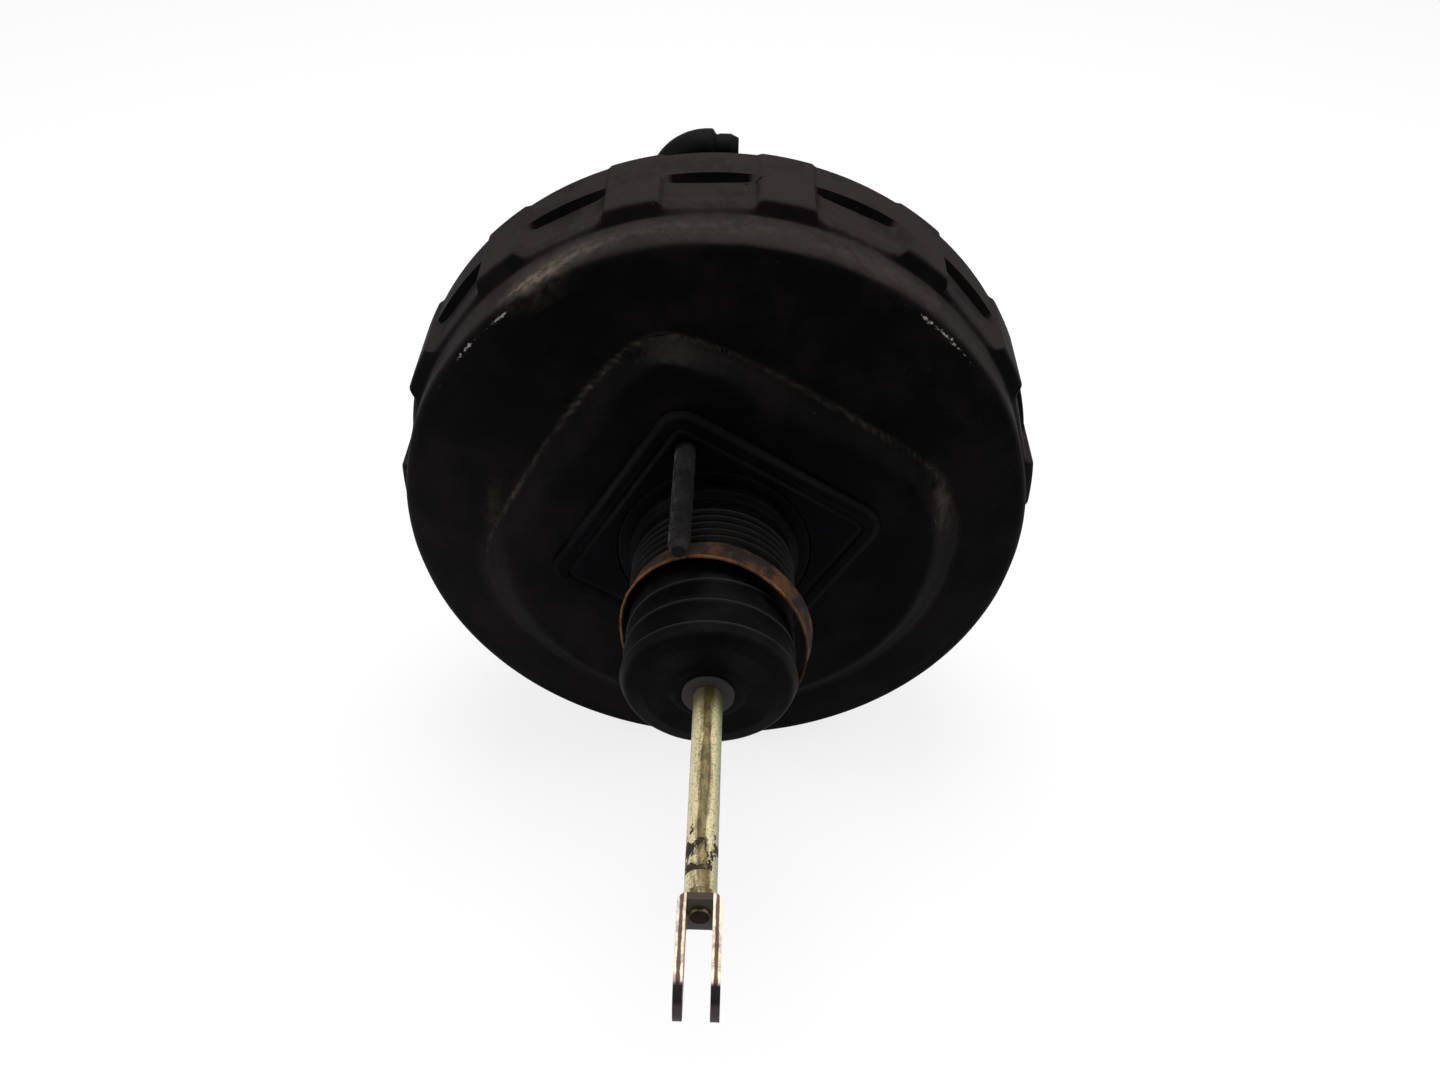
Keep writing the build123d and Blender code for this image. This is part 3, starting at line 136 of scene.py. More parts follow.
def bumps(x: Array, y: Array, marks: Marks) -> Array:
    """Sum of bells; a mark is a bell's height, then its middle, half widths and turn as in bump_at."""
    return sum(height * bump_at(x, y, *ellipse) for height, *ellipse in marks)


def bell(away: Array, width: float) -> Array:
    """Bell of height 1 where away is 0: exp(-(away / width)^2)."""
    return np.exp(-((away / width) ** 2))


def polar(x: Array, z: Array) -> tuple[Array, Array]:
    """Distance from the drum's axis, and angle from +Z towards +X in degrees."""
    return np.hypot(x, z), np.degrees(np.arctan2(x, z))


def full_turn(count: int) -> Array:
    """Angles of a full turn in radians, as one row."""
    return np.linspace(0.0, 2.0 * math.pi, count, endpoint=False)[None, :]


def six_volumes(a: Array, b: Array, c: Array) -> float:
    """Six times the signed volume from the origin to triangles a, b, c: the sum of a . (b x c)."""
    return np.einsum("ij,ij->i", a, np.cross(b, c)).sum()


def stud_centres(circle: float, turn: float) -> tuple[tuple[float, float], ...]:
    """Places (x, z) of the two bulkhead studs, opposite each other on their circle."""
    angles = math.radians(turn), math.radians(turn + 180.0)
    return tuple((math.sin(a) * circle / 2, math.cos(a) * circle / 2) for a in angles)


def ripple(points: Array, size: float, seed: int, octaves: int = 3) -> Array:
    """Smooth random field in space: a sum of sines along random directions, halved at each finer octave.

    Args:
        points: array whose last axis holds x, y and z.
        size: wavelength of the coarsest octave.
        seed: picks the directions and phases.
        octaves: number of octaves.

    Returns:
        The field, about between -1 and 1.
    """
    rng = np.random.default_rng(seed)
    total = np.zeros(points.shape[:-1])
    for octave in range(octaves):
        ways = rng.normal(size=(5, 3))
        ways /= np.linalg.norm(ways, axis=1, keepdims=True)
        phase = points @ (ways.T * (2.0 * math.pi * 2.0**octave / size)) + rng.uniform(0.0, 6.3, 5)
        total += np.sin(phase).sum(axis=-1) / (5.0**0.5 * 2.0 ** (octave + 0.5))
    return total


def rounded_line(corners: Sequence[tuple[float, ...]], step: float, closed: bool = False) -> Array:
    """Polyline with rounded corners, as points about step apart.

    Each corner is (a, b) or (a, b, radius). A radius cuts both sides at radius * tan(half the turn), and a
    quadratic curve through the corner joins the cuts.

    Args:
        corners: the corners in order.
        step: largest distance between points on the straight runs.
        closed: whether the last corner joins the first.

    Returns:
        Points of shape (n, 2).
    """
    place = np.array([c[:2] for c in corners], dtype=float)
    radius = np.array([c[2] if len(c) > 2 else 0.0 for c in corners])
    before, after = np.roll(place, 1, axis=0) - place, np.roll(place, -1, axis=0) - place
    la, lb = np.linalg.norm(before, axis=1), np.linalg.norm(after, axis=1)
    cosine = np.clip((before * after).sum(axis=1) / np.maximum(la * lb, 1e-9), -1.0, 1.0)
    cut = radius / np.tan(np.maximum(np.arccos(cosine), 1e-3) / 2.0)
    cut = np.minimum(cut, 0.49 * np.minimum(la, lb))
    if not closed:
        cut[[0, -1]] = 0.0
    enter = place + before * (cut / np.maximum(la, 1e-9))[:, None]
    leave = place + after * (cut / np.maximum(lb, 1e-9))[:, None]
    runs: list[Array] = []
    count = len(place)
    for k in range(count):
        if cut[k] > 0.0:
            t = np.linspace(0.0, 1.0, 7)[:, None]
            runs.append((1 - t) ** 2 * enter[k] + 2 * t * (1 - t) * place[k] + t**2 * leave[k])
        else:
            runs.append(place[k : k + 1])
        if k + 1 < count or closed:
            start, end = leave[k], enter[(k + 1) % count]
            pieces = max(1, int(math.ceil(np.linalg.norm(end - start) / step)))
            runs.append(start + (end - start) * (np.arange(1, pieces) / pieces)[:, None])
    return np.concatenate(runs)


# ---------------------------------------------------------------- meshes
def placed(name: str, data: bpy.types.ID) -> bpy.types.Object:
    """Puts a new object into the scene.

    Args:
        name: name of the object.
        data: its mesh, camera or lamp.

    Returns:
        The object, at the origin.
    """
    thing = bpy.data.objects.new(name, data)
    bpy.context.scene.collection.objects.link(thing)
    return thing


@dataclass
class Skin:
    """Closed surfaces gathered into one mesh."""

    name: str
    points: list[Array] = field(default_factory=list)
    quads: list[Array] = field(default_factory=list)
    fans: list[Array] = field(default_factory=list)
    total: int = 0

    def add(self, grid: Array, loop: bool = False) -> Skin:
        """Adds a grid of points as a closed surface and turns its faces outwards.

        The first axis runs along the surface and the second round it, closing on itself. A grid that doesn't
        loop gets both its ends closed by a fan to the end ring's middle.

        Args:
            grid: points of shape (along, round, 3) in mm.
            loop: whether the first axis closes on itself.

        Returns:
            The skin, so that calls can be chained.
        """
        rows, columns = grid.shape[:2]
        index = np.arange(rows * columns).reshape(rows, columns)
        if loop:
            index = np.vstack([index, index[:1]])
        index = np.hstack([index, index[:, :1]])
        quads = np.stack([index[:-1, :-1], index[1:, :-1], index[1:, 1:], index[:-1, 1:]], axis=-1)
        quads = quads.reshape(-1, 4)
        points = grid.reshape(-1, 3)
        fans = np.zeros((0, 3), dtype=int)
        if not loop:
            ends = np.stack([grid[0].mean(axis=0), grid[-1].mean(axis=0)])
            points = np.vstack([points, ends])
            a, b = rows * columns, rows * columns + 1
            first, last = index[0], index[-1]
            fans = np.vstack([
                np.stack([np.full(len(first) - 1, a), first[:-1], first[1:]], axis=-1),
                np.stack([np.full(len(last) - 1, b), last[1:], last[:-1]], axis=-1),
            ])
        p, q, r, t = points[quads].transpose(1, 0, 2)
        volume = six_volumes(p, q, r) + six_volumes(p, r, t) + six_volumes(*points[fans].transpose(1, 0, 2))
        if volume < 0.0:
            quads, fans = quads[:, ::-1], fans[:, ::-1]
        self.points.append(points)
        self.quads.append(quads + self.total)
        self.fans.append(fans + self.total)
        self.total += len(points)
        return self

    def build(self, material: bpy.types.Material, sharp: float = 40.0) -> bpy.types.Object:
        """Makes the mesh object.

        Args:
            material: material of the whole piece.
            sharp: angle in degrees above which an edge stays sharp.

        Returns:
            The object, at the origin, unturned and unscaled.
        """
        points = np.vstack(self.points) * MM
        quads, fans = np.vstack(self.quads), np.vstack(self.fans)
        mesh = bpy.data.meshes.new(self.name)
        mesh.vertices.add(len(points))
        mesh.vertices.foreach_set("co", points.astype(np.float32).ravel())
        mesh.loops.add(quads.size + fans.size)
        mesh.loops.foreach_set("vertex_index", np.concatenate([quads.ravel(), fans.ravel()]).astype(np.int32))
        starts = np.concatenate([np.arange(len(quads)) * 4, quads.size + np.arange(len(fans)) * 3])
        mesh.polygons.add(len(starts))
        mesh.polygons.foreach_set("loop_start", starts.astype(np.int32))
        mesh.polygons.foreach_set("use_smooth", np.ones(len(starts), dtype=bool))
        mesh.update(calc_edges=True)
        mesh.validate()
        mesh.set_sharp_from_angle(angle=math.radians(sharp))
        mesh.materials.append(material)
        return placed(self.name, mesh)


def stain(thing: bpy.types.Object, name: str, value_at: Callable[[Array], Array]) -> None:
    """Stores a number per vertex for a material to read.

    Args:
        thing: finished piece.
        name: name of the attribute.
        value_at: gives the number from the vertices' places in mm.
    """
    flat = np.empty(len(thing.data.vertices) * 3, dtype=np.float32)
    thing.data.vertices.foreach_get("co", flat)
    value = np.clip(value_at(flat.reshape(-1, 3) / MM), 0.0, 1.0)
    thing.data.attributes.new(name, "FLOAT", "POINT").data.foreach_set("value", value.astype(np.float32))


def lathe(line: Array, turns: int = 96, x: float = 0.0, z: float = 0.0) -> Array:
    """Surface of revolution about an axis parallel to Y.

    Args:
        line: (radius, y) points.
        turns: points round the axis.
        x: place of the axis.
        z: place of the axis.

    Returns:
        Grid of shape (len(line), turns, 3).
    """
    angle = full_turn(turns)
    radius, station = line[:, :1], line[:, 1:2] + 0.0 * angle
    return np.stack([x + radius * np.sin(angle), station, z + radius * np.cos(angle)], axis=-1)


def round_axis(angle: Array, radius: Array | float, station: Array | float) -> Array:
    """Points (radius sin a, station, radius cos a), with the angle in radians."""
    angle, radius, station = np.broadcast_arrays(angle, radius, station)
    return np.stack([radius * np.sin(angle), station, radius * np.cos(angle)], axis=-1)


# ---------------------------------------------------------------- materials
class Look(Enum):
    """Finishes by name; those that a CAD node wears are named as the slot in the record."""

    PAINT = "black_paint"
    ZINC = "zinc_steel"
    STUD = "stud_steel"
    GOLD = "yellow_zinc"
    FORK = "fork_zinc"
    RUST = "rusty_steel"
    SPRING = "spring_steel"
    RUBBER = "black_rubber"
    FIBRE = "gasket_fibre"
    RESIN = "black_resin"
    GLOSS = "gloss_plastic"
    NYLON = "grey_nylon"
    FLEECE = "fleece"


@dataclass(frozen=True)
class Grain:
    """Noise pattern in object space.

    The scale is the number of lumps per metre, detail the number of finer octaves, rough the share that each
    octave keeps of the one before, and warp the pattern's distortion.
    """

    scale: float
    detail: float = 4.0
    rough: float = 0.55
    warp: float = 0.0


class Graph:
    """Short hand for building one material's nodes."""

    MIX_SHARE, MIX_A, MIX_B, MIX_RESULT = 0, 6, 7, 2

    def __init__(self, name: str) -> None:
        """Starts a material with a Principled shader.

        Args:
            name: name of the material.
        """
        self.material = bpy.data.materials.new(name)
        self.material.use_nodes = True
        self.tree = self.material.node_tree
        self.shader = self.tree.nodes["Principled BSDF"]
        self.place = self.tree.nodes.new("ShaderNodeTexCoord").outputs["Object"]

    def link(self, value: object, socket: Socket) -> None:
        """Joins a socket to another, or sets a plain value on it.

        Args:
            value: socket, number, or three numbers of a vector or colour.
            socket: input to fill.
        """
        if isinstance(value, Socket):
            self.tree.links.new(value, socket)
        elif socket.type == "RGBA":
            socket.default_value = (*value, 1.0)
        else:
            socket.default_value = value

    def node(self, kind: str, **inputs: object) -> bpy.types.Node:
        """Adds a node.

        Args:
            kind: its type, without the leading ShaderNode.
            inputs: sockets or values by the input's name, with _ for a space.

        Returns:
            The node.
        """
        node = self.tree.nodes.new("ShaderNode" + kind)
        for name, value in inputs.items():
            self.link(value, node.inputs[name.replace("_", " ")])
        return node

    def squeezed(self, share: float) -> Socket:
        """Object coordinates squeezed along Y, which draws a pattern out along the rod."""
        return self.node("Mapping", Vector=self.place, Scale=(1.0, share, 1.0)).outputs["Vector"]

    def noise(self, grain: Grain, place: Socket | None = None) -> Socket:
        """Noise in object space.

        Args:
            grain: the pattern.
            place: coordinates, where they aren't the object's own.

        Returns:
            The noise, which lies about 0.5.
        """
        node = self.node("TexNoise", Vector=place or self.place, Scale=grain.scale, Detail=grain.detail,
                         Roughness=grain.rough, Distortion=grain.warp)
        return node.outputs["Fac"]

    def cells(self, scale: float) -> Socket:
        """Distance to the nearest of random points, with scale of them per metre."""
        return self.node("TexVoronoi", Vector=self.place, Scale=scale).outputs["Distance"]

    def fade(self, value: Socket, low: float, high: float) -> Socket:
        """Smooth ramp from 0 at low to 1 at high.

        Args:
            value: number to read.
            low: where the ramp starts.
            high: where it ends, which may be below low.

        Returns:
            The ramp, between 0 and 1.
        """
        falls = float(low > high)
        node = self.node("MapRange", Value=value, From_Min=min(low, high), From_Max=max(low, high),
                         To_Min=falls, To_Max=1.0 - falls)
        node.interpolation_type = "SMOOTHSTEP"
        return node.outputs["Result"]

    def level(self, share: Socket, a: float, b: float) -> Socket:
        """Number that goes from a to b while the share goes from 0 to 1."""
        return self.node("MapRange", Value=share, To_Min=a, To_Max=b).outputs["Result"]

    def math(self, kind: str, a: object, b: object = 0.0) -> Socket:
        """Adds an arithmetic node.

        Args:
            kind: the operation.
            a: first socket or number.
            b: second socket or number, if the operation has one.

        Returns:
            The result.
        """
        node = self.node("Math")
        node.operation = kind
        self.link(a, node.inputs[0])
        self.link(b, node.inputs[1])
        return node.outputs[0]

    def times(self, a: object, b: object) -> Socket:
        """Product of two sockets or numbers."""
        return self.math("MULTIPLY", a, b)

    def plus(self, a: object, b: object) -> Socket:
        """Sum of two sockets or numbers."""
        return self.math("ADD", a, b)

    def minus(self, a: object, b: object) -> Socket:
        """Difference of two sockets or numbers."""
        return self.math("SUBTRACT", a, b)

    def size(self, a: Socket) -> Socket:
        """Number without its sign."""
        return self.math("ABSOLUTE", a)

    def mix(self, share: object, a: object, b: object) -> Socket:
        """Mixes two colours.

        Args:
            share: how much of b there is.
            a: first socket or colour.
            b: second socket or colour.

        Returns:
            The mixed colour.
        """
        node = self.node("Mix")
        node.data_type = "RGBA"
        for value, index in ((share, self.MIX_SHARE), (a, self.MIX_A), (b, self.MIX_B)):
            self.link(value, node.inputs[index])
        return node.outputs[self.MIX_RESULT]

    def axis(self, which: str) -> Socket:
        """One of the object coordinates, in metres."""
        return self.node("SeparateXYZ", Vector=self.place).outputs[which]

    def facing(self, which: str) -> Socket:
        """One component of the surface normal in object space."""
        normal = self.node("TexCoord").outputs["Normal"]
        return self.node("SeparateXYZ", Vector=normal).outputs[which]

    def attribute(self, name: str) -> Socket:
        """Number stored per vertex.

        Args:
            name: name of the attribute.

        Returns:
            The number, which is 0 on a mesh that doesn't hold it.
        """
        node = self.node("Attribute")
        node.attribute_name = name
        return node.outputs["Fac"]

    def bump(self, height: Socket, depth: float, strength: float = 1.0,
             under: Socket | None = None) -> Socket:
        """Bump of the surface.

        Args:
            height: pattern from 0 to 1.
            depth: height of the full pattern in mm, below 0 for pits.
            strength: how much of it is seen.
            under: coarser bump below this one.

        Returns:
            The normal.
        """
        node = self.node("Bump", Height=height, Distance=depth * MM, Strength=strength)
        if under is not None:
            self.link(under, node.inputs["Normal"])
        return node.outputs["Normal"]

    def finish(self, **sockets: object) -> bpy.types.Material:
        """Fills the shader.

        Args:
            sockets: sockets or values by the input's name, with _ for a space.

        Returns:
            The material.
        """
        for name, value in sockets.items():
            self.link(value, self.shader.inputs[name.replace("_", " ")])
        return self.material


@dataclass(frozen=True)
class BlackPaint:
    """Thin black paint on pressed steel, under a warm film of road dust."""

    look: Look = Look.PAINT
    paint: Colour = (0.0006, 0.0005, 0.0006)
    faded: Colour = (0.0030, 0.0022, 0.0021)
    # film of dust, also the colour of painted highlights on the pads' crests and the plateau's left wall
    film: Colour = (0.0175, 0.0143, 0.0140)
    # colour of caked dust and specks, also of the painted highlight line in the plateau's foot
    dust: Colour = (0.130, 0.106, 0.082)
    # colour of bare steel in chips, also used for the painted highlight at the plateau's right corner
    chip_and_highlight: Colour = (0.24, 0.225, 0.20)
    shine: float = 0.05
    fine: Grain = Grain(560.0, 7.0, 0.72)
    clouds: Grain = Grain(34.0, 6.0, 0.62)
    patches: Grain = Grain(60.0, 7.0, 0.72)
    caking: Grain = Grain(230.0, 6.0, 0.7)
    clusters: Grain = Grain(40.0, 3.0)
    specks: float = 300.0
    pitting: Grain = Grain(330.0, 4.0, 0.6)
    dimples: Grain = Grain(150.0, 5.0, 0.6)

    def material(self) -> bpy.types.Material:
        """Paint, then a film on what faces up, then caked dust, chips and pits where the mesh says; the film,
        the dust and the chips also carry painted highlights.

        Returns:
            The material.
        """
        g = Graph(self.look.value)
        grain = g.noise(self.fine)
        cloud = g.noise(self.clouds)
        base = g.mix(g.fade(cloud, 0.40, 0.66), self.paint, self.faded)
        patchy = g.level(g.fade(g.noise(self.patches), 0.38, 0.64), 0.45, 1.25)
        film = g.times(g.fade(g.facing("Z"), 0.55, 0.98), patchy)
        # dust film on the drum's side, with a painted highlight on the pads' crests
        side = g.times(g.attribute("rim"), g.fade(g.size(g.facing("Y")), 0.75, 0.3))
        film = g.plus(film, g.times(side, patchy))
        # lighter film on the face towards lower left, with a painted highlight on the plateau's left wall
        film = g.plus(film, g.times(g.attribute("haze_and_highlight"), g.level(cloud, 0.1, 0.9)))
        base = g.mix(film, base, self.film)
        # caked dust, with a painted highlight line in the plateau's foot
        caked = g.times(g.attribute("dust"), g.level(g.fade(g.noise(self.caking), 0.34, 0.66), 0.15, 1.0))
        base = g.mix(caked, base, self.dust)
        speck = g.times(g.fade(g.cells(self.specks), 0.10, 0.05), g.fade(g.noise(self.clusters), 0.53, 0.60))
        base = g.mix(g.times(speck, g.level(g.facing("Z"), 0.10, 0.5)), base, self.dust)
        # chips of bare steel, and a painted highlight at the plateau's right corner
        chips = g.fade(g.minus(g.attribute("bare_and_highlight"), grain), 0.0, 0.08)
        base = g.mix(chips, base, self.chip_and_highlight)
        pits = g.fade(g.minus(g.attribute("pit"), g.noise(self.pitting)), 0.0, 0.06)
        base = g.mix(pits, base, self.paint)
        normal = g.bump(g.noise(self.dimples), 0.16, 0.5)
        normal = g.bump(grain, 0.05, 0.6, g.bump(pits, -0.25, 0.8, normal))
        rough = g.level(g.plus(film, caked), 0.52, 0.85)
        return g.finish(Base_Color=base, Roughness=rough, Normal=normal, Metallic=0.0, IOR=DULL_IOR,
                        Specular_IOR_Level=self.shine)


@dataclass(frozen=True)
class PlatedSteel:
    """Zinc on steel: dark film, paler patches, corrosion spots, and bright crests where the mesh says, on the
    studs partly a painted highlight.
    """

    look: Look = Look.STUD
    film: Colour = (0.0016, 0.0014, 0.0015)
    pale: Colour = (0.0080, 0.0070, 0.0068)
    stain: Colour = (0.002, 0.0015, 0.0015)
    crest: Colour = (0.085, 0.080, 0.076)
    spots: float = 0.35
    metal: float = 0.0
    rough: float = 0.6
    shine: float = 0.06
    clouds: Grain = Grain(70.0, 5.0, 0.65)
    corrosion: Grain = Grain(210.0, 6.0, 0.7)
    wear: Grain = Grain(170.0, 5.0, 0.7)
    fine: Grain = Grain(620.0, 6.0, 0.7)

    def material(self) -> bpy.types.Material:
        """Plating broken by stains; the stains are rough and not metallic.

        Returns:
            The material.
        """
        g = Graph(self.look.value)
        tone = g.mix(g.fade(g.noise(self.clouds), 0.38, 0.66), self.film, self.pale)
        limit = 0.70 - 0.2 * self.spots
        eaten = g.fade(g.noise(self.corrosion), limit, limit + 0.04)
        base = g.mix(g.times(eaten, 0.9), tone, self.stain)
        # crest colour: worn crests, which on the studs include a painted highlight towards -X
        worn = g.times(g.attribute("crest"), g.fade(g.noise(self.wear), 0.38, 0.60))
        base = g.mix(worn, base, self.crest)
        normal = g.bump(g.noise(self.fine), 0.05, 0.6, g.bump(eaten, -0.08, 0.7))
        return g.finish(Base_Color=base, Roughness=g.level(eaten, self.rough, 0.85),
                        Metallic=g.level(eaten, self.metal, 0.05), Normal=normal,
                        Specular_IOR_Level=self.shine)


@dataclass(frozen=True)
class RodPlating:
    """Yellow chromate on the pushrod, olive where it faces up, with painted reflections on its sides, painted
    shade near the boot, and eaten brown next to the fork.
    """

    look: Look = Look.GOLD
    olive: Colour = (0.045, 0.036, 0.012)
    gold: Colour = (0.150, 0.110, 0.040)
    # pale: painted reflection on the rod's sides
    pale: Colour = (0.58, 0.51, 0.29)
    right_reflection: Colour = (0.24, 0.25, 0.16)
    stain: Colour = (0.016, 0.007, 0.004)
    eaten_from: float = -0.128
    eaten_to: float = -0.154
    collar: float = -0.1632
    # stations of the painted shade near the boot's end
    shade_from: float = -0.097
    shade_to: float = -0.085
    shine: float = 0.25
    streaks: Grain = Grain(380.0, 6.0, 0.7, 0.3)
    wavering: Grain = Grain(210.0, 5.0, 0.65, 0.3)
    specks: Grain = Grain(1100.0, 4.0, 0.7)
    corrosion: Grain = Grain(250.0, 6.0, 0.68, 0.4)
    fine: Grain = Grain(700.0, 6.0, 0.7)

    def material(self) -> bpy.types.Material:
        """Streaks along the rod, worked out on coordinates squeezed along it, pale and green-grey sides that
        are painted reflections, painted shade near the boot, and stains by station.

        Returns:
            The material.
        """
        g = Graph(self.look.value)
        along = g.squeezed(0.12)
        streak = g.fade(g.noise(self.streaks, g.squeezed(0.4)), 0.40, 0.62)
        tone = g.mix(streak, self.olive, self.gold)
        wander = g.times(g.minus(g.noise(self.wavering, along), 0.5), 1.6)
        across = g.plus(g.facing("X"), wander)
        # pale left side: painted reflection
        tone = g.mix(g.fade(across, -0.22, -0.55), tone, self.pale)
        # right side going green-grey: painted reflection
        right = g.mix(g.fade(g.facing("X"), 0.55, 0.95), self.pale, self.right_reflection)
        tone = g.mix(g.fade(across, 0.30, 0.62), tone, right)
        speck = g.fade(g.noise(self.specks), 0.50, 0.60)
        tone = g.mix(g.times(speck, 0.55), tone, self.olive)
        station = g.axis("Y")
        # painted shade on the rod where it goes into the boot's end
        tone = g.mix(g.times(g.fade(station, self.shade_from, self.shade_to), 0.85), tone, self.olive)
        near = g.times(g.fade(station, self.eaten_from, self.eaten_to),
                       g.fade(station, self.collar - 0.0004, self.collar))
        limit = g.level(near, 0.76, 0.47)
        eaten = g.fade(g.minus(g.noise(self.corrosion, g.squeezed(0.6)), limit), 0.0, 0.05)
        eaten = g.math("MAXIMUM", eaten, g.fade(g.facing("Y"), -0.6, -0.9))
        base = g.mix(eaten, tone, self.stain)
        normal = g.bump(g.noise(self.fine), 0.05, 0.6, g.bump(eaten, -0.14, 0.8))
        return g.finish(Base_Color=base, Roughness=g.level(eaten, 0.35, 0.8),
                        Metallic=g.level(eaten, 0.35, 0.0), Normal=normal, Specular_IOR_Level=self.shine)


@dataclass(frozen=True)
class ForkPlating:
    """Clear zinc on the fork, painted shade on its sides, rust along its sheared edges and grease on its
    ends.
    """

    look: Look = Look.FORK
    zinc: Colour = (0.60, 0.50, 0.36)
    # dull zinc, also the colour of the painted shade on the fork's sides
    dull: Colour = (0.20, 0.15, 0.13)
    rust: Colour = (0.036, 0.011, 0.008)
    olive: Colour = (0.040, 0.043, 0.026)
    bend: Colour = (0.017, 0.008, 0.005)
    grease: Colour = (0.0030, 0.0018, 0.0028)
    tip: Colour = (0.050, 0.036, 0.032)
    ear: float = 0.0055
    grease_from: float = -0.2048
    grease_to: float = -0.2064
    tip_from: float = -0.211
    shine: float = 0.2
    clouds: Grain = Grain(190.0, 5.0, 0.65)
    wavering: Grain = Grain(260.0, 4.0, 0.6)
    specks: Grain = Grain(330.0, 6.0, 0.7)
    smears: Grain = Grain(180.0, 3.0)
    fine: Grain = Grain(540.0, 6.0, 0.7)
    dimples: Grain = Grain(160.0, 3.0)

    def material(self) -> bpy.types.Material:
        """Zinc with painted shade on the faces towards ±X; rust in a line along each upward edge; grease from
        one station on, paler at the tip.

        Returns:
            The material.
        """
        g = Graph(self.look.value)
        tone = g.mix(g.fade(g.noise(self.clouds), 0.42, 0.68), self.zinc, self.dull)
        inner = g.math("LESS_THAN", g.size(g.axis("X")), self.ear - 0.0014)
        tone = g.mix(g.times(inner, g.fade(g.facing("Y"), -0.2, -0.7)), tone, self.olive)
        tone = g.mix(g.times(inner, g.fade(g.facing("Z"), 0.3, 0.7)), tone, self.bend)
        # painted shade: faces towards ±X go dull
        painted_flank_shade = g.times(g.fade(g.size(g.facing("X")), 0.6, 0.9), 0.8)
        tone = g.mix(painted_flank_shade, tone, self.dull)
        edge = g.fade(g.size(g.facing("Z")), 0.55, 0.85)
        wander = g.times(g.minus(g.noise(self.wavering), 0.5), 0.0009)
        aside = g.size(g.minus(g.size(g.axis("X")), self.ear))
        outer = g.fade(g.plus(aside, wander), 0.00075, 0.00040)
        tone = g.mix(g.times(g.times(edge, outer), 0.95), tone, self.rust)
        specks = g.fade(g.noise(self.specks), 0.62, 0.68)
        tone = g.mix(g.times(specks, 0.8), tone, self.rust)
        station = g.plus(g.axis("Y"), g.times(g.noise(self.smears), 0.003))
        greasy = g.fade(station, self.grease_from, self.grease_to)
        worn = g.fade(g.axis("Y"), self.tip_from, self.tip_from - 0.001)
        base = g.mix(greasy, tone, g.mix(worn, self.grease, self.tip))
        rough = g.level(greasy, 0.42, 0.7)
        metal = g.level(greasy, 0.25, 0.0)
        normal = g.bump(g.noise(self.fine), 0.07, 0.7, g.bump(g.noise(self.dimples), 0.1, 0.4))
        return g.finish(Base_Color=base, Roughness=rough, Metallic=metal, Normal=normal,
                        Specular_IOR_Level=self.shine)


@dataclass(frozen=True)
class Rust:
    """Steel rusted through its plating."""

    look: Look = Look.RUST
    brown: Colour = (0.0055, 0.0034, 0.0026)
    orange: Colour = (0.044, 0.0190, 0.0070)
    pale: Colour = (0.160, 0.064, 0.019)
    black: Colour = (0.005, 0.003, 0.003)
    shine: float = 0.15
    flakes: Grain = Grain(130.0, 7.0, 0.72)
    patches: Grain = Grain(75.0)
    pitting: Grain = Grain(300.0, 5.0, 0.7)
    fine: Grain = Grain(480.0, 7.0, 0.75)

    def material(self) -> bpy.types.Material:
        """Flaking rust in two tones with black pits, paler where the mesh says edge.

        Returns:
            The material.
        """
        g = Graph(self.look.value)
        flake = g.noise(self.flakes)
        base = g.mix(g.fade(flake, 0.43, 0.62), self.brown, self.orange)
        edge = g.times(g.attribute("edge"), g.fade(g.noise(self.patches), 0.36, 0.6))
        base = g.mix(edge, base, self.pale)
        pits = g.fade(g.noise(self.pitting), 0.55, 0.66)
        base = g.mix(g.times(pits, 0.8), base, self.black)
        normal = g.bump(g.noise(self.fine), 0.2, 0.8, g.bump(flake, 0.25, 0.6))
        return g.finish(Base_Color=base, Roughness=0.9, Metallic=0.0, Normal=normal,
                        Specular_IOR_Level=self.shine)


@dataclass(frozen=True)
class Rubber:
    """Aged black rubber."""

    look: Look = Look.RUBBER
    colour: Colour = (0.0006, 0.0005, 0.0006)
    bloom: Colour = (0.0030, 0.0026, 0.0025)
    # colour of worn crests and dust specks, also of painted highlights on the boot's ridges
    crest: Colour = (0.022, 0.020, 0.019)
    rough: float = 0.5
    shine: float = 0.06
    clouds: Grain = Grain(48.0, 6.0, 0.65)
    wear: Grain = Grain(140.0, 5.0, 0.7)
    clusters: Grain = Grain(60.0, 3.0)
    specks: float = 420.0
    fine: Grain = Grain(760.0, 6.0, 0.65)
    dimples: Grain = Grain(120.0, 4.0)
    gloss: Grain = Grain(80.0)

    def material(self) -> bpy.types.Material:
        """Black rubber with a grey bloom, fine grain, and worn crests that also carry painted highlights.

        Returns:
            The material.
        """
        g = Graph(self.look.value)
        bloom = g.fade(g.noise(self.clouds), 0.42, 0.72)
        base = g.mix(bloom, self.colour, self.bloom)
        # worn crests, with painted highlights on the boot's ridges and a painted reflection on its end's
        # shoulder
        worn = g.times(g.attribute("crest"), g.level(g.noise(self.wear), 0.3, 1.2))
        base = g.mix(worn, base, self.crest)
        specks = g.times(g.fade(g.cells(self.specks), 0.10, 0.05), g.fade(g.noise(self.clusters), 0.52, 0.62))
        base = g.mix(g.times(specks, 0.5), base, self.crest)
        normal = g.bump(g.noise(self.fine), 0.05, 0.6, g.bump(g.noise(self.dimples), 0.12, 0.4))
        rough = g.level(g.noise(self.gloss), self.rough - 0.1, self.rough + 0.15)
        return g.finish(Base_Color=base, Roughness=rough, Normal=normal, IOR=DULL_IOR,
                        Specular_IOR_Level=self.shine)


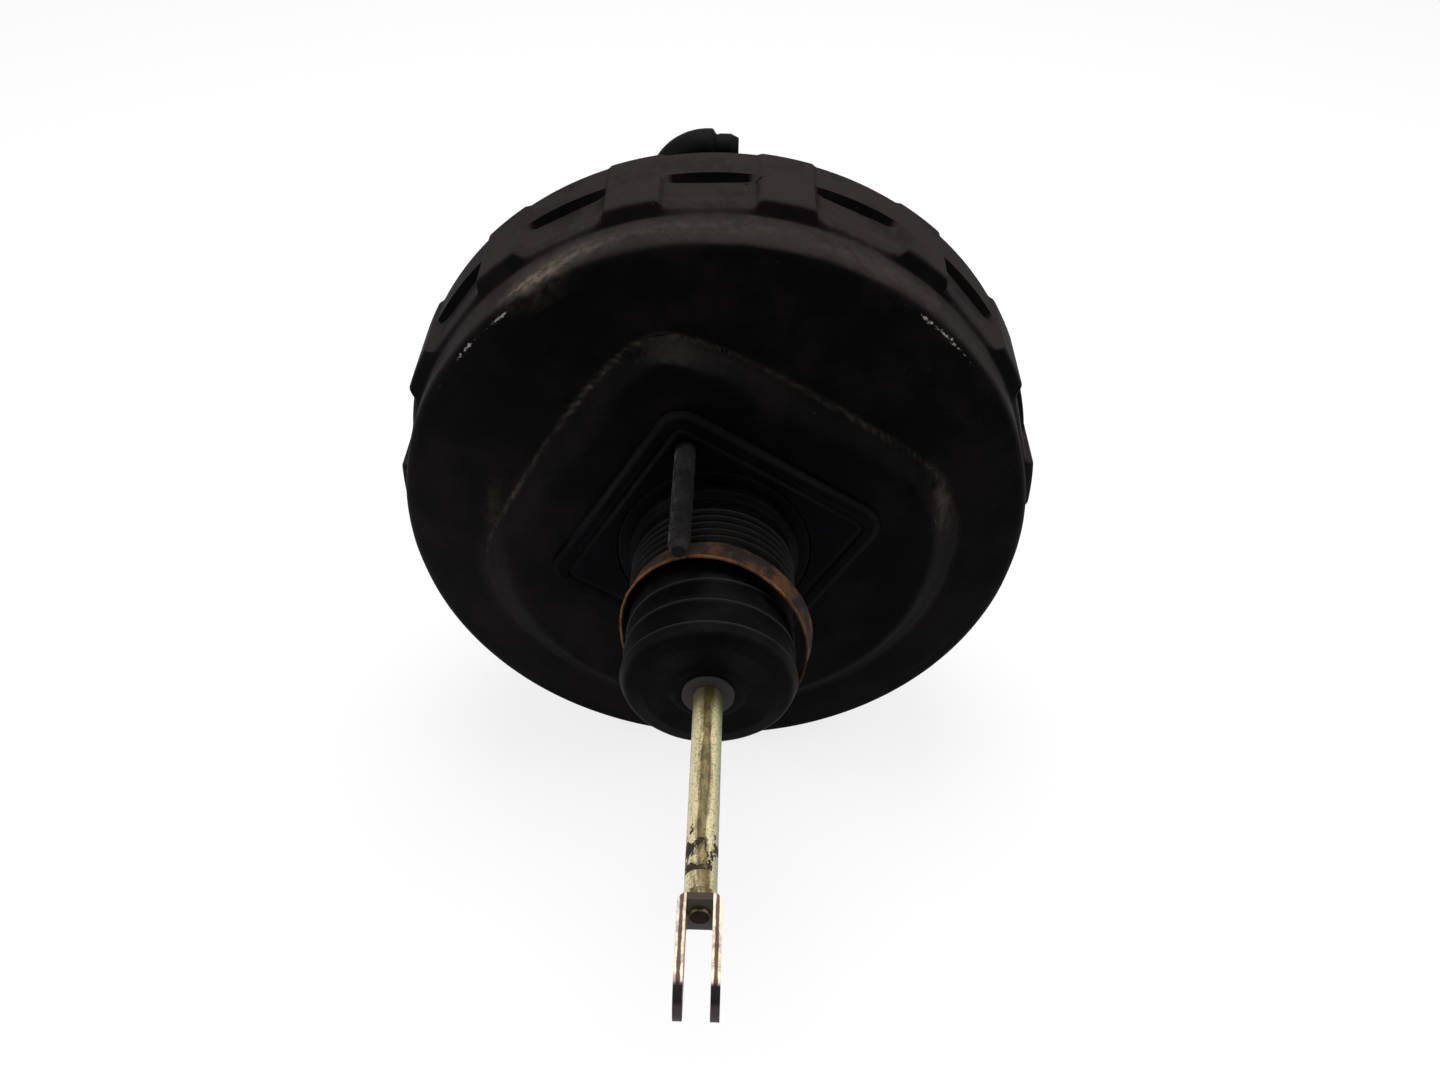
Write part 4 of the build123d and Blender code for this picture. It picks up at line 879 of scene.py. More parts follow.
@dataclass(frozen=True)
class Fibre:
    """Coated fibre gasket sheet."""

    look: Look = Look.FIBRE
    colour: Colour = (0.0005, 0.0006, 0.0010)
    worn: Colour = (0.0028, 0.0030, 0.0040)
    # colour of scuffs, also of painted highlights on the gasket's bevel and pressed line
    crest: Colour = (0.015, 0.0145, 0.015)
    shine: float = 0.05
    clouds: Grain = Grain(52.0, 6.0, 0.7)
    wear: Grain = Grain(160.0, 5.0, 0.7)
    fine: Grain = Grain(640.0, 5.0, 0.6)

    def material(self) -> bpy.types.Material:
        """Blue-black coating, scuffed grey on its raised line and bevel, where painted highlights lie as
        well.

        Returns:
            The material.
        """
        g = Graph(self.look.value)
        scuff = g.fade(g.noise(self.clouds), 0.44, 0.74)
        base = g.mix(scuff, self.colour, self.worn)
        # scuffs and painted highlights on the bevel and the pressed line
        crest = g.times(g.attribute("crest"), g.level(g.noise(self.wear), 0.1, 1.3))
        base = g.mix(crest, base, self.crest)
        normal = g.bump(g.noise(self.fine), 0.05, 0.6)
        return g.finish(Base_Color=base, Roughness=g.level(scuff, 0.5, 0.7), Normal=normal, IOR=DULL_IOR,
                        Specular_IOR_Level=self.shine)


@dataclass(frozen=True)
class Plastic:
    """Moulded plastic, glossy or dull."""

    look: Look = Look.GLOSS
    colour: Colour = (0.0006, 0.0006, 0.0006)
    spots: Colour = (0.006, 0.005, 0.004)
    rough: float = 0.55
    shine: float = 0.04
    clouds: Grain = Grain(210.0, 6.0, 0.7)
    fine: Grain = Grain(500.0, 3.0)

    def material(self) -> bpy.types.Material:
        """Moulded plastic with specks of dirt, dulled where it has weathered.

        Returns:
            The material.
        """
        g = Graph(self.look.value)
        dirt = g.times(g.fade(g.noise(self.clouds), 0.52, 0.72), 0.5)
        base = g.mix(dirt, self.colour, self.spots)
        normal = g.bump(g.noise(self.fine), 0.03, 0.4)
        return g.finish(Base_Color=base, Roughness=g.level(dirt, self.rough, self.rough + 0.4), Normal=normal,
                        Specular_IOR_Level=self.shine)


# ---------------------------------------------------------------- rear shell
@dataclass
class RearShell:
    """Pressed rear shell: domed face, drafted plateau, crimp pads on the rim, drawn neck."""

    sheet: float = 2.0
    neck: float = 28.5
    neck_end: float = -33.0
    pilot: float = 38.5
    plateau_radius: float = 87.5
    flats: Marks = ((-58.5, 68.0), (31.5, 66.0))
    plateau_corner: float = 14.0
    sharper: Marks = ((-16.0, 22.0, 4.0), (-96.0, 12.0, 8.0), (66.0, 13.0, 8.0))
    slack: tuple[float, float, float, float] = (-97.0, 26.0, 3.0, 0.6)
    plateau: float = 3.0
    foot: float = 13.0
    dome_from: float = 88.0
    dome_rise: float = 6.7
    face_edge: float = 118.0
    shoulder: float = 126.4
    shoulder_start: float = 19.7
    ramp: float = 40.4
    rim_start: float = 44.2
    rim_end: float = 84.0
    rim: float = 132.5
    pads: int = 14
    first: float = -2.2
    pad_floor: float = 127.6
    pad_lip: float = 131.2
    pad_half: float = 16.5
    pad_slope: float = 0.8
    pad_start: float = 43.0
    pad_crest: float = 48.0
    pad_end: float = 64.0
    pad_step: float = 1.6
    pad_walls: tuple[float, float] = (7.4, 9.2)
    lug_half: tuple[float, float, float] = (7.5, 3.75, 1.0)
    lug_radius: float = 127.75
    lug_station: float = 79.4
    lug_power: float = 0.35
    dents: Marks = (
        (1.1, -46.0, 79.0, 5.0, 3.0, -20.0), (-0.7, -20.5, 84.5, 1.7, 1.3),
        (0.7, -60.0, 83.0, 11.0, 3.0, 34.0), (0.5, -66.0, 77.0, 3.0, 2.0),
        (0.5, 88.0, 19.0, 4.0, 9.0, 8.0), (0.35, 70.0, 60.0, 8.0, 4.0, 40.0),
        (0.35, -24.0, 96.0, 7.0, 2.0, 10.0), (0.3, 20.0, 84.0, 9.0, 2.0, 20.0))
    foot_dust_and_highlight: Marks = ((0.32, -41.0, 10.0, 9.0, 99.0), (0.20, -16.0, 10.0, 17.0, 99.0),
                        (0.17, 42.0, 10.0, 24.0, 99.0), (0.25, -75.0, 10.0, 18.0, 99.0))
    smears: Marks = ((1.0, -33.5, 25.0, 5.0, 4.2), (0.40, -26.0, 31.0, 7.0, 5.0),
                     (0.12, -4.0, 32.0, 20.0, 6.0), (0.10, 30.0, 30.0, 12.0, 6.0))
    edge_dust: Marks = ((0.12, -84.0, 90.0, 9.0, 3.0), (0.25, 78.0, 92.0, 8.0, 3.0))
    chips: Marks = ((0.58, -41.5, 19.0, 2.4, 9.0), (0.43, -51.0, 18.0, 6.0, 9.0),
                    (0.41, 43.0, 18.0, 12.0, 9.0), (0.30, 0.0, 18.0, 60.0, 9.0))
    most_chips: float = 0.58
    face_pits: Marks = ((0.56, -60.0, 83.0, 12.0, 6.0, 34.0), (0.52, -30.0, 84.0, 16.0, 4.0, 10.0),
                        (0.5, 84.0, 26.0, 5.0, 12.0))
    rim_pits: Marks = ((0.52, -27.0, 80.0, 3.0, 5.0), (0.48, 6.0, 62.0, 6.0, 3.0))

    def outline(self, x: Array, z: Array) -> Array:
        """Signed distance to the plateau's upper edge.

        It is the greatest of the distances to a circle and to two flats, with the corners rounded by the
        distance to a smaller outline less the corner's radius. The radius falls in a bell towards each of the
        sharper corners, given by angle, width and amount.

        Args:
            x: places across.
            z: places upwards.

        Returns:
            Distance in mm, negative on the plateau.
        """
        turned = np.degrees(np.arctan2(x, z))
        tight = sum(by * bell(turned - at, width) for at, width, by in self.sharper)
        corner = self.plateau_corner - tight
        sides = [np.hypot(x, z) - self.plateau_radius + corner]
        for turn, flat in self.flats:
            a = math.radians(turn)
            sides.append(x * math.sin(a) + z * math.cos(a) - flat + corner)
        inside = np.minimum(np.maximum.reduce(sides), 0.0)
        outside = np.sqrt(sum(np.maximum(s, 0.0) ** 2 for s in sides))
        return inside + outside - corner

    def face(self, x: Array, z: Array) -> Array:
        """Station of the outer face: the dome, or the drafted plateau where that stands further back.

        The dome falls as a power of the radius from the plateau's foot to the shoulder. The plateau's wall
        leans at 45 degrees, and less at the slack corner on the left. Dents and press marks are bells.

        Args:
            x: places across, in mm.
            z: places upwards, in mm.

        Returns:
            Y of the face there.
        """
        radius, angle = polar(x, z)
        out = (radius - self.dome_from) / (self.shoulder - self.dome_from)
        dome = self.foot + self.dome_rise * np.clip(out, 0.0, 1.2) ** 1.5
        away = self.outline(x, z)
        at, width, inset, spread = self.slack
        loose = bell(angle - at, width)
        rise = (away + inset * loose) / (1.0 + spread * loose)
        wall = soft_max(self.plateau + rise, np.full_like(away, self.plateau), 2.2)
        height = soft_min(dome, wall, 2.0)
        place = np.stack([x, np.zeros_like(x), z], axis=-1)
        height = height + 0.22 * ripple(place, 70.0, 3, 2) * smooth_step(80.0, 100.0, radius)
        return height + bumps(x, z, self.dents)

    def radius(self, angle: Array, station: Array, base: Array) -> Array:
        """Radius of the rim with its crimp pads.

        A pad is a flat floor, a sloped rear end and slanted side walls, cut from the round rim; its radius
        at an angle a from its middle is floor / cos(a), or the side wall's where that is greater. In front of
        the pad the lip turns round about the axis: the cosine's power goes to 0.

        Args:
            angle: places round the rim in radians.
            station: places along the axis.
            base: radius of the round rim there.

        Returns:
            The lesser of the round rim's and the pad's radius.
        """
        step = 2.0 * math.pi / self.pads
        local = np.abs((angle - math.radians(self.first) + step / 2) % step - step / 2)
        line = ((0.0, self.shoulder), (self.ramp + 0.6, self.shoulder),
                (self.pad_start, self.pad_floor + 0.2), (self.pad_crest, self.pad_floor + 0.8),
                (self.pad_crest + 4.0, self.pad_floor), (self.pad_end, self.pad_floor),
                (self.pad_end + self.pad_step, self.pad_lip), (self.rim_end, self.pad_lip))
        flatness = 1.0 - smooth_step(self.pad_end, self.pad_end + self.pad_step, station)
        floor = np.interp(station, *np.array(line).T) / np.cos(local) ** flatness
        side = self.pad_floor - self.pad_half / self.pad_slope
        side = side / (np.cos(local) - np.sin(local) / self.pad_slope)
        return soft_min(base, soft_max(floor, side, 2.0), 1.4)

    def angles(self) -> Array:
        """Angles round the rim in radians, closest on the pads' side walls.

        Returns:
            The angles, in order round the rim.
        """
        half = math.pi / self.pads
        start, end = np.radians(self.pad_walls)
        near = np.concatenate([np.linspace(0.0, start, 6, endpoint=False),
                               np.linspace(start, end, 7, endpoint=False), np.linspace(end, half, 6)])
        one = np.concatenate([-near[:0:-1], near[:-1]])
        middle = math.radians(self.first) + np.arange(self.pads) * 2.0 * half
        return (middle[:, None] + one[None, :]).ravel()

    def grid(self) -> Array:
        """Closed section carried round the axis: neck, pilot ring, face, shoulder, rim, then back inside.

        Returns:
            Grid of shape (along, round, 3).
        """
        angle = self.angles()[None, :]
        lip = self.neck - 4.6
        neck = rounded_line([
            (lip, self.neck_end + 2.0), (lip, self.neck_end), (self.neck, self.neck_end, 1.5),
            (self.neck, 0.0, 2.0), (self.pilot, 0.0, 1.5), (self.pilot, 2.6)], 6.0)
        parts = [round_axis(angle, neck[:, :1], neck[:, 1:])]
        radius = np.concatenate([np.linspace(self.pilot + 0.05, 60.0, 8),
                                 np.linspace(61.5, self.face_edge, 45)])[:, None]
        x, z = radius * np.sin(angle), radius * np.cos(angle)
        parts.append(np.stack([x, self.face(x, z), z], axis=-1))
        edge = float(self.face(np.array([0.0]), np.array([self.face_edge]))[0])
        lip = self.pad_end + self.pad_step
        side = rounded_line([
            (self.face_edge, edge), (self.shoulder, self.shoulder_start, 8.0),
            (self.shoulder, self.ramp, 2.0), (self.rim, self.rim_start, 3.4),
            (self.rim, self.pad_crest + 1.0), (self.rim, self.pad_end - 0.4), (self.rim, self.pad_end, 0.1),
            (self.rim, lip, 0.1), (self.rim, lip + 0.5), (self.rim, self.rim_end, 5.0),
            (self.rim - 6.0, self.rim_end)], 1.8)[1:]
        station = side[:, 1:]
        parts.append(round_axis(angle, self.radius(angle, station, side[:, :1] + 0.0 * angle), station))
        inner = side[::-5]
        station = np.minimum(inner[:, 1:] + 0.5 * self.sheet, self.rim_end - 0.4)
        wall = self.radius(angle, station, inner[:, :1] + 0.0 * angle) - self.sheet
        parts.append(round_axis(angle, wall, station))
        radius = np.linspace(115.0, 30.0, 11)[:, None]
        x, z = radius * np.sin(angle), radius * np.cos(angle)
        back = np.where(np.hypot(x, z) < 40.0, self.sheet, self.face(x, z) + self.sheet)
        parts.append(np.stack([x, back, z], axis=-1))
        bore = np.array([[self.sheet], [self.neck_end + self.sheet]])
        parts.append(round_axis(angle, self.neck - self.sheet, bore))
        return np.concatenate(parts)

    def lugs(self) -> Array:
        """Lugs bent inwards over the front shell: rounded blocks from a power of sine and cosine.

        Returns:
            Array of shape (pads, along, round, 3).
        """
        u = np.linspace(-0.499 * math.pi, 0.499 * math.pi, 12)[:, None]
        v = full_turn(24)

        def bent(t: Array) -> Array:
            """Sign of t times |t| to the power."""
            return np.sign(t) * np.abs(t) ** self.lug_power

        half_across, half_up, half_along = self.lug_half
        across = half_across * bent(np.cos(u)) * bent(np.cos(v))
        up = self.lug_radius + half_up * bent(np.sin(u)) + 0.0 * v
        along = self.lug_station + half_along * bent(np.cos(u)) * bent(np.sin(v))
        turn = np.radians(self.first) + (np.arange(self.pads) + 0.5) * 2.0 * math.pi / self.pads
        c, s = np.cos(turn)[:, None, None], np.sin(turn)[:, None, None]
        x, z = across * c + up * s, up * c - across * s
        return np.stack([x, along + 0.0 * x, z], axis=-1)

    def dust(self, place: Array) -> Array:
        """Caked dust on the shoulder's edge and in a tan smear at upper left; dust and a painted highlight
        line in the plateau's foot.

        Args:
            place: places of the vertices, one row each.

        Returns:
            Share per vertex, cut to 0 to 1 when it is stored.
        """
        x, y, z = place.T
        radius, angle = polar(x, z)
        # line in the plateau's foot: caked dust and a painted highlight of the crease
        foot = bell(self.outline(x, z) - 10.2, 0.8) * (radius < 110.0)
        smear = bumps(angle, y, self.smears) * (radius > 117.0)
        edge = bumps(angle, radius, self.edge_dust) * (y < 16.0)
        return foot * (0.05 + bumps(angle, y, self.foot_dust_and_highlight)) + smear + edge

    def haze_and_highlight(self, place: Array) -> Array:
        """Lighter film on the face, none at upper right and most at lower left, and a painted highlight on
        the plateau's left wall.

        Args:
            place: places of the vertices, one row each.

        Returns:
            Share per vertex, cut to 0 to 1 when it is stored.
        """
        x, _, z = place.T
        slope = smooth_step(70.0, -150.0, 0.9 * x + z)
        # painted highlight along the plateau's wall on the left
        wall = bell(self.outline(x, z) - 5.0, 4.0) * (x < 0.0)
        return (0.42 * slope + 0.10 * wall) * (np.hypot(x, z) < 125.0)

    def rim_film(self, place: Array) -> Array:
        """Dust film on the drum's side, more towards +X, with a painted highlight on the crests behind the
        pads.

        Args:
            place: places of the vertices, one row each.

        Returns:
            Share per vertex, cut to 0 to 1 when it is stored.
        """
        x, y, z = place.T
        side = smooth_step(122.0, 125.5, np.hypot(x, z))
        # the bell at the pads' crests is a painted highlight
        return side * (0.40 + 0.45 * smooth_step(60.0, 125.0, x) + 0.3 * bell(y - self.pad_crest, 1.6))

    def bare_and_highlight(self, place: Array) -> Array:
        """Chipped edges on the shoulder's corner on both sides, and a painted highlight on the plateau's edge
        at the right corner.

        Args:
            place: places of the vertices, one row each.

        Returns:
            Share per vertex, cut to 0 to 1 when it is stored.
        """
        x, y, z = place.T
        radius, angle = polar(x, z)
        corner = bell(radius - 123.4, 1.8) * (y < 24.0)
        marks = np.minimum(bumps(angle, y, self.chips), self.most_chips)
        # painted highlight on the plateau's edge at the right corner, stored with the chips
        plateau = bell(self.outline(x, z) - 1.2, 1.5) * bump_at(angle, y, 80.0, 4.0, 7.0, 9.0)
        return np.maximum(corner * marks, 0.54 * plateau)

    def pit(self, place: Array) -> Array:
        """Black pits: in the dent at upper left, on the foot beside it, and on two pads.

        Args:
            place: places of the vertices, one row each.

        Returns:
            Share per vertex, cut to 0 to 1 when it is stored.
        """
        x, y, z = place.T
        radius, angle = polar(x, z)
        return (y < 22.0) * bumps(x, z, self.face_pits) + (radius > 124.0) * bumps(angle, y, self.rim_pits)

    def build(self, material: bpy.types.Material) -> None:
        """Builds the shell and puts it in place of the plain one.

        Args:
            material: material of the piece.
        """
        skin = Skin("rear_shell_skin").add(self.grid(), loop=True)
        for lug in self.lugs():
            skin.add(lug)
        thing = skin.build(material, 50.0)
        stains = {"dust": self.dust, "haze_and_highlight": self.haze_and_highlight, "rim": self.rim_film, "bare_and_highlight": self.bare_and_highlight,
                  "pit": self.pit}
        for name, value_at in stains.items():
            stain(thing, name, value_at)
        LOG.info("%s holds %d faces", thing.name, len(thing.data.polygons))
        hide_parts("rear_shell")
        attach(thing, "shell")


# ---------------------------------------------------------------- boot
@dataclass
class Boot:
    """Rubber boot over the neck, with its ridged folds and its end dome."""

    radius: float = 31.9
    foot: float = 33.6
    sleeve: float = 30.9
    neck: float = 28.9
    end: float = -80.4
    tilt: float = 0.10
    ridges: tuple[float, ...] = (-52.9, -62.6)
    first_ridge: float = -13.9
    ridge_pitch: float = 3.95
    sleeve_ridges: int = 5
    dome_ridge: float = -74.3
    lean_from: float = -44.0
    lean_to: float = -72.0
    lip: float = 8.1
    columns: int = 224

    def section(self, station: Array) -> Array:
        """Outer radius along the boot.

        The foot steps down to a sleeve with ridges, raised cosines, which widens to the folds. Each fold
        starts at a thin ridge, a narrow bell, beside a shallow groove, and swells a little towards its end.

        Args:
            station: places along the axis.

        Returns:
            Outer radius there.
        """
        s = station
        on_sleeve = smooth_step(-11.0, -13.0, s) * smooth_step(-33.0, -31.0, s)
        wave = 0.5 + 0.5 * np.cos((s - self.first_ridge) * 2.0 * math.pi / self.ridge_pitch)
        sleeve = self.sleeve + 0.9 * wave**3 * on_sleeve
        radius = sleeve + (self.radius - 0.9 - sleeve) * smooth_step(-37.0, -44.0, s)
        radius = radius + (self.foot - self.sleeve) * smooth_step(-6.5, -4.2, s)
        for ridge in self.ridges:
            radius = radius + 0.55 * bell(s - ridge, 0.42) - 0.5 * bell(s - ridge - 1.1, 0.7)
            radius = radius + 0.25 * smooth_step(ridge, ridge - 5.0, s)
        return radius

    def lean(self, grid: Array) -> Array:
        """Shears the far end so that its upper side stands further back.

        Args:
            grid: upright points.

        Returns:
            The leaning points.
        """
        share = smooth_step(self.lean_from, self.lean_to, grid[..., 1])
        moved = grid.copy()
        moved[..., 1] -= self.tilt * grid[..., 2] * share
        return moved

    def upright(self, place: Array) -> Array:
        """Stations of points before the lean, by three rounds of putting it back.

        Args:
            place: places of the vertices, one row each.

        Returns:
            Y that each point had before the lean.
        """
        station = place[:, 1].copy()
        for _ in range(3):
            share = smooth_step(self.lean_from, self.lean_to, station)
            station = place[:, 1] + self.tilt * place[:, 2] * share
        return station

    def crest(self, place: Array) -> Array:
        """Wear and painted highlights on the thin ridges, and a painted reflection on the dome's shoulder.

        Args:
            place: places of the vertices, one row each.

        Returns:
            Share per vertex, cut to 0 to 1 when it is stored.
        """
        station = self.upright(place)
        radius = np.hypot(place[:, 0], place[:, 2])
        # wear with painted highlights on the ridges
        worn = sum(bell(station - ridge, 0.4) for ridge in (*self.ridges, self.dome_ridge))
        sleeve = self.first_ridge - self.ridge_pitch * np.arange(self.sleeve_ridges)
        worn = worn + 0.6 * sum(bell(station - ridge, 0.5) for ridge in sleeve)
        # painted reflection on the dome's shoulder
        shoulder = 0.08 * bump_at(station, radius, -77.5, 31.0, 2.0, 3.0)
        return (worn + shoulder) * (radius > 29.5)

    def bellows(self) -> Array:
        """Outer skin from the foot to the last fold, then back as the inner wall.

        Returns:
            Grid of shape (along, round, 3).
        """
        station = np.concatenate([[-0.2, -0.9], np.arange(-1.6, -74.6, -0.2)])
        outer = np.stack([self.section(station), station], axis=-1)
        outer[0, 0] -= 0.6
        fold = np.stack([np.full(16, self.radius - 3.0), np.linspace(-74.4, -36.0, 16)], axis=-1)
        inner = np.stack([np.full(20, self.neck), np.linspace(-33.2, -0.6, 20)], axis=-1)
        line = np.vstack([outer, fold, inner])
        grid = lathe(line, self.columns)
        wave = 0.16 * ripple(grid, 34.0, 8, 2) * smooth_step(-40.0, -52.0, grid[..., 1])
        grid[..., 0] *= 1.0 + wave / self.radius
        grid[..., 2] *= 1.0 + wave / self.radius
        return self.lean(grid)

    def dome(self) -> Array:
        """End of the boot: a short skirt, a ridge, a rounded shoulder and the flat lip round the bush.

        Returns:
            Grid of shape (along, round, 3).
        """
        line = rounded_line([
            (self.radius - 0.9, -68.5), (self.radius - 0.5, -73.2, 0.5),
            (self.radius + 0.4, self.dome_ridge, 0.5), (self.radius, -75.2, 0.6),
            (self.radius - 1.6, -79.0, 3.5), (self.radius - 8.0, -80.3, 4.0), (14.5, -79.6, 2.0),
            (12.4, self.end, 1.0), (self.lip, self.end), (self.lip, -78.0), (20.0, -78.2),
            (self.radius - 4.5, -77.0, 2.0), (self.radius - 3.4, -68.5)], 1.0)
        grid = lathe(line, self.columns)
        grid[..., 1] += 0.12 * ripple(grid, 26.0, 12, 3)
        return self.lean(grid)

    def build(self, rubber: bpy.types.Material) -> None:
        """Builds the bellows and the dome in place of the plain boot.

        Args:
            rubber: material of both pieces.
        """
        bellows = Skin("boot_bellows").add(self.bellows(), loop=True).build(rubber, 60.0)
        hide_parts("boot")
        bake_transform(bellows)
        dome = Skin("boot_end").add(self.dome(), loop=True).build(rubber, 60.0)
        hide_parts("boot")
        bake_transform(dome)
        for thing in (bellows, dome):
            stain(thing, "crest", self.crest)


@dataclass
class Band:
    """Open steel band, rusted, lying aslant round the boot."""

    radius: float = 34.9
    sheet: float = 0.9
    width: float = 11.0
    station: float = -48.5
    shift: float = 2.0
    pitch: float = -8.0
    yaw: float = -13.0
    split: float = 150.0
    gap: float = 8.0

    def turn(self) -> Array:
        """Rotation that leans the band."""
        pitched = Matrix.Rotation(math.radians(self.pitch), 3, "X")
        return np.array(pitched @ Matrix.Rotation(math.radians(self.yaw), 3, "Z"))

    def grid(self) -> Array:
        """Flat section with rounded corners carried along an open arc, flared, then turned into place.

        Returns:
            Grid of shape (along, round, 3).
        """
        half = math.degrees(self.gap / 2 / self.radius)
        angle = np.radians(np.linspace(self.split + half, self.split + 360.0 - half, 360))[:, None]
        w, t, r = self.width / 2, self.sheet, 0.3
        section = rounded_line([(0, -w, r), (t, -w, r), (t, w, r), (0, w, r)], 0.6, closed=True)
        place = round_axis(angle, self.radius, 0.0)
        radius = self.radius + section[None, :, 0] + 0.22 * ripple(place, 40.0, 5, 2)
        along = section[None, :, 1]
        flare = 0.35 * np.clip(-along / w, 0.0, 1.0) ** 2
        station = along * (1.0 + 0.05 * ripple(place, 22.0, 6, 2)) + 0.3 * ripple(place, 60.0, 9, 1)
        ring = round_axis(angle, radius + flare + 0.08 * ripple(place, 6.0, 15, 2), station)
        return ring @ self.turn().T + np.array([self.shift, self.station, 0.0])

    def edge(self, place: Array) -> Array:
        """Paler rust on the band's rearmost edge."""
        level = ((place - np.array([self.shift, self.station, 0.0])) @ self.turn())[:, 1]
        return smooth_step(-0.30 * self.width, -0.5 * self.width, level)

    def build(self, rust: bpy.types.Material) -> None:
        """Builds the band in place of the plain one.

        Args:
            rust: material of the piece.
        """
        thing = Skin("boot_band_rusty").add(self.grid()).build(rust, 50.0)
        stain(thing, "edge", self.edge)
        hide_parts("boot_band")
        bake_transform(thing)


# ---------------------------------------------------------------- gasket
@dataclass
class Gasket:
    """Square bulkhead gasket with a pressed line, stud holes and a torn edge."""

    width: float = 101.0
    corner: float = 11.0
    thick: float = 3.0
    hole: float = 38.8
    turn: float = -13.5
    line_inset: float = 7.0
    line_depth: float = 0.6
    line_half: float = 0.9
    stud_circle: float = 99.0
    stud_hole: float = 5.2
    torn_at: float = -118.0
    torn_half: float = 14.0
    torn_depth: float = 4.6
    columns: int = 720
    wear: Marks = ((0.8, -52.0, 0.0, 34.0, 9.0), (0.6, 45.0, 0.0, 40.0, 9.0))

    def inset(self, x: Array, z: Array) -> Array:
        """Distance in from the rounded square's edge, positive inside.

        Args:
            x: places across, in mm.
            z: places upwards, in mm.

        Returns:
            Signed distance.
        """
        a = math.radians(self.turn + 45.0)
        u, v = np.abs(x * math.cos(a) - z * math.sin(a)), np.abs(x * math.sin(a) + z * math.cos(a))
        dx, dz = u - self.width / 2 + self.corner, v - self.width / 2 + self.corner
        outside = np.hypot(np.maximum(dx, 0.0), np.maximum(dz, 0.0))
        return -(outside + np.minimum(np.maximum(dx, dz), 0.0) - self.corner)

    def reach(self, angle: Array) -> Array:
        """Distance from the axis to the edge along an angle, by stepping the signed distance inwards.

        Args:
            angle: angles round the axis in radians.

        Returns:
            Distance to the edge.
        """
        reach = np.full_like(angle, self.width)
        for _ in range(60):
            reach = reach + 0.9 * self.inset(reach * np.sin(angle), reach * np.cos(angle))
        return reach

    def torn(self, angle: Array) -> Array:
        """Share of tearing round the edge: a bell with a ragged saw on it.

        Args:
            angle: angles round the axis in radians.

        Returns:
            Share between 0 and 1.
        """
        degrees = np.degrees(angle)
        patch = np.exp(-(((degrees - self.torn_at) / self.torn_half) ** 4))
        saw = 0.5 + 0.3 * np.sin(degrees * 0.73 + 1.0) + 0.2 * np.sin(degrees * 1.9) * np.sin(degrees * 3.1)
        return patch * (0.35 + 0.65 * saw)

    def top(self, x: Array, z: Array) -> Array:
        """Station of the visible side: a pressed line, a bevel, slight waves, and holes for studs.

        Args:
            x: places across, in mm.
            z: places upwards, in mm.

        Returns:
            Y of the visible side there.
        """
        away = self.inset(x, z)
        place = np.stack([x, 0.0 * x, z], axis=-1)
        pressed = self.line_depth * bell(away - self.line_inset, self.line_half)
        level = pressed + 0.08 * ripple(place, 30.0, 4, 2) + 0.7 * smooth_step(3.2, 0.6, away) + 0.08
        for cx, cz in stud_centres(self.stud_circle, self.turn):
            hole = smooth_step(self.stud_hole + 0.3, self.stud_hole - 0.2, np.hypot(x - cx, z - cz))
            level = level + (self.thick - 0.1 - level) * hole
        return np.clip(level, 0.0, self.thick)

    def grid(self) -> Array:
        """Closed section from the hole out to the edge and back underneath.

        Returns:
            Grid of shape (along, round, 3).
        """
        angle = np.linspace(-math.pi, math.pi, self.columns, endpoint=False)[None, :]
        edge = self.reach(angle) - self.torn_depth * self.torn(angle)
        radius = self.hole + (edge - self.hole - 1.0) * np.linspace(0.0, 1.0, 60)[:, None]
        rows = [round_axis(angle, radius, self.top(radius * np.sin(angle), radius * np.cos(angle)))]
        for out, y in ((0.7, 1.1), (1.0, 1.6), (1.0, self.thick - 0.3), (0.6, self.thick)):
            rows.append(round_axis(angle, edge - 1.0 + out, y))
        rows.append(round_axis(angle, self.hole, self.thick))
        return np.concatenate(rows)

    def crest(self, place: Array) -> Array:
        """Wear and painted highlights on the bevel and on both sides of the pressed line, most at upper left
        and upper right.

        Args:
            place: places of the vertices, one row each.

        Returns:
            Share per vertex, cut to 0 to 1 when it is stored.
        """
        x, y, z = place.T
        away, angle = self.inset(x, z), polar(x, z)[1]
        # wear and painted highlights, most at upper left and upper right
        share = 0.12 + bumps(angle, y, self.wear)
        bevel = 0.8 * bell(away - 1.3, 0.9)
        line = 0.7 * bell(away - self.line_inset - 1.2, 0.7) + 0.3 * bell(away - self.line_inset + 1.4, 0.7)
        return (bevel + line) * share

    def build(self, material: bpy.types.Material) -> None:
        """Builds the gasket in place of the plain one.

        Args:
            material: material of the piece.
        """
        thing = Skin("bulkhead_gasket_torn").add(self.grid(), loop=True).build(material, 45.0)
        stain(thing, "crest", self.crest)
        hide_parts("bulkhead_gasket")
        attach(thing, "shell")


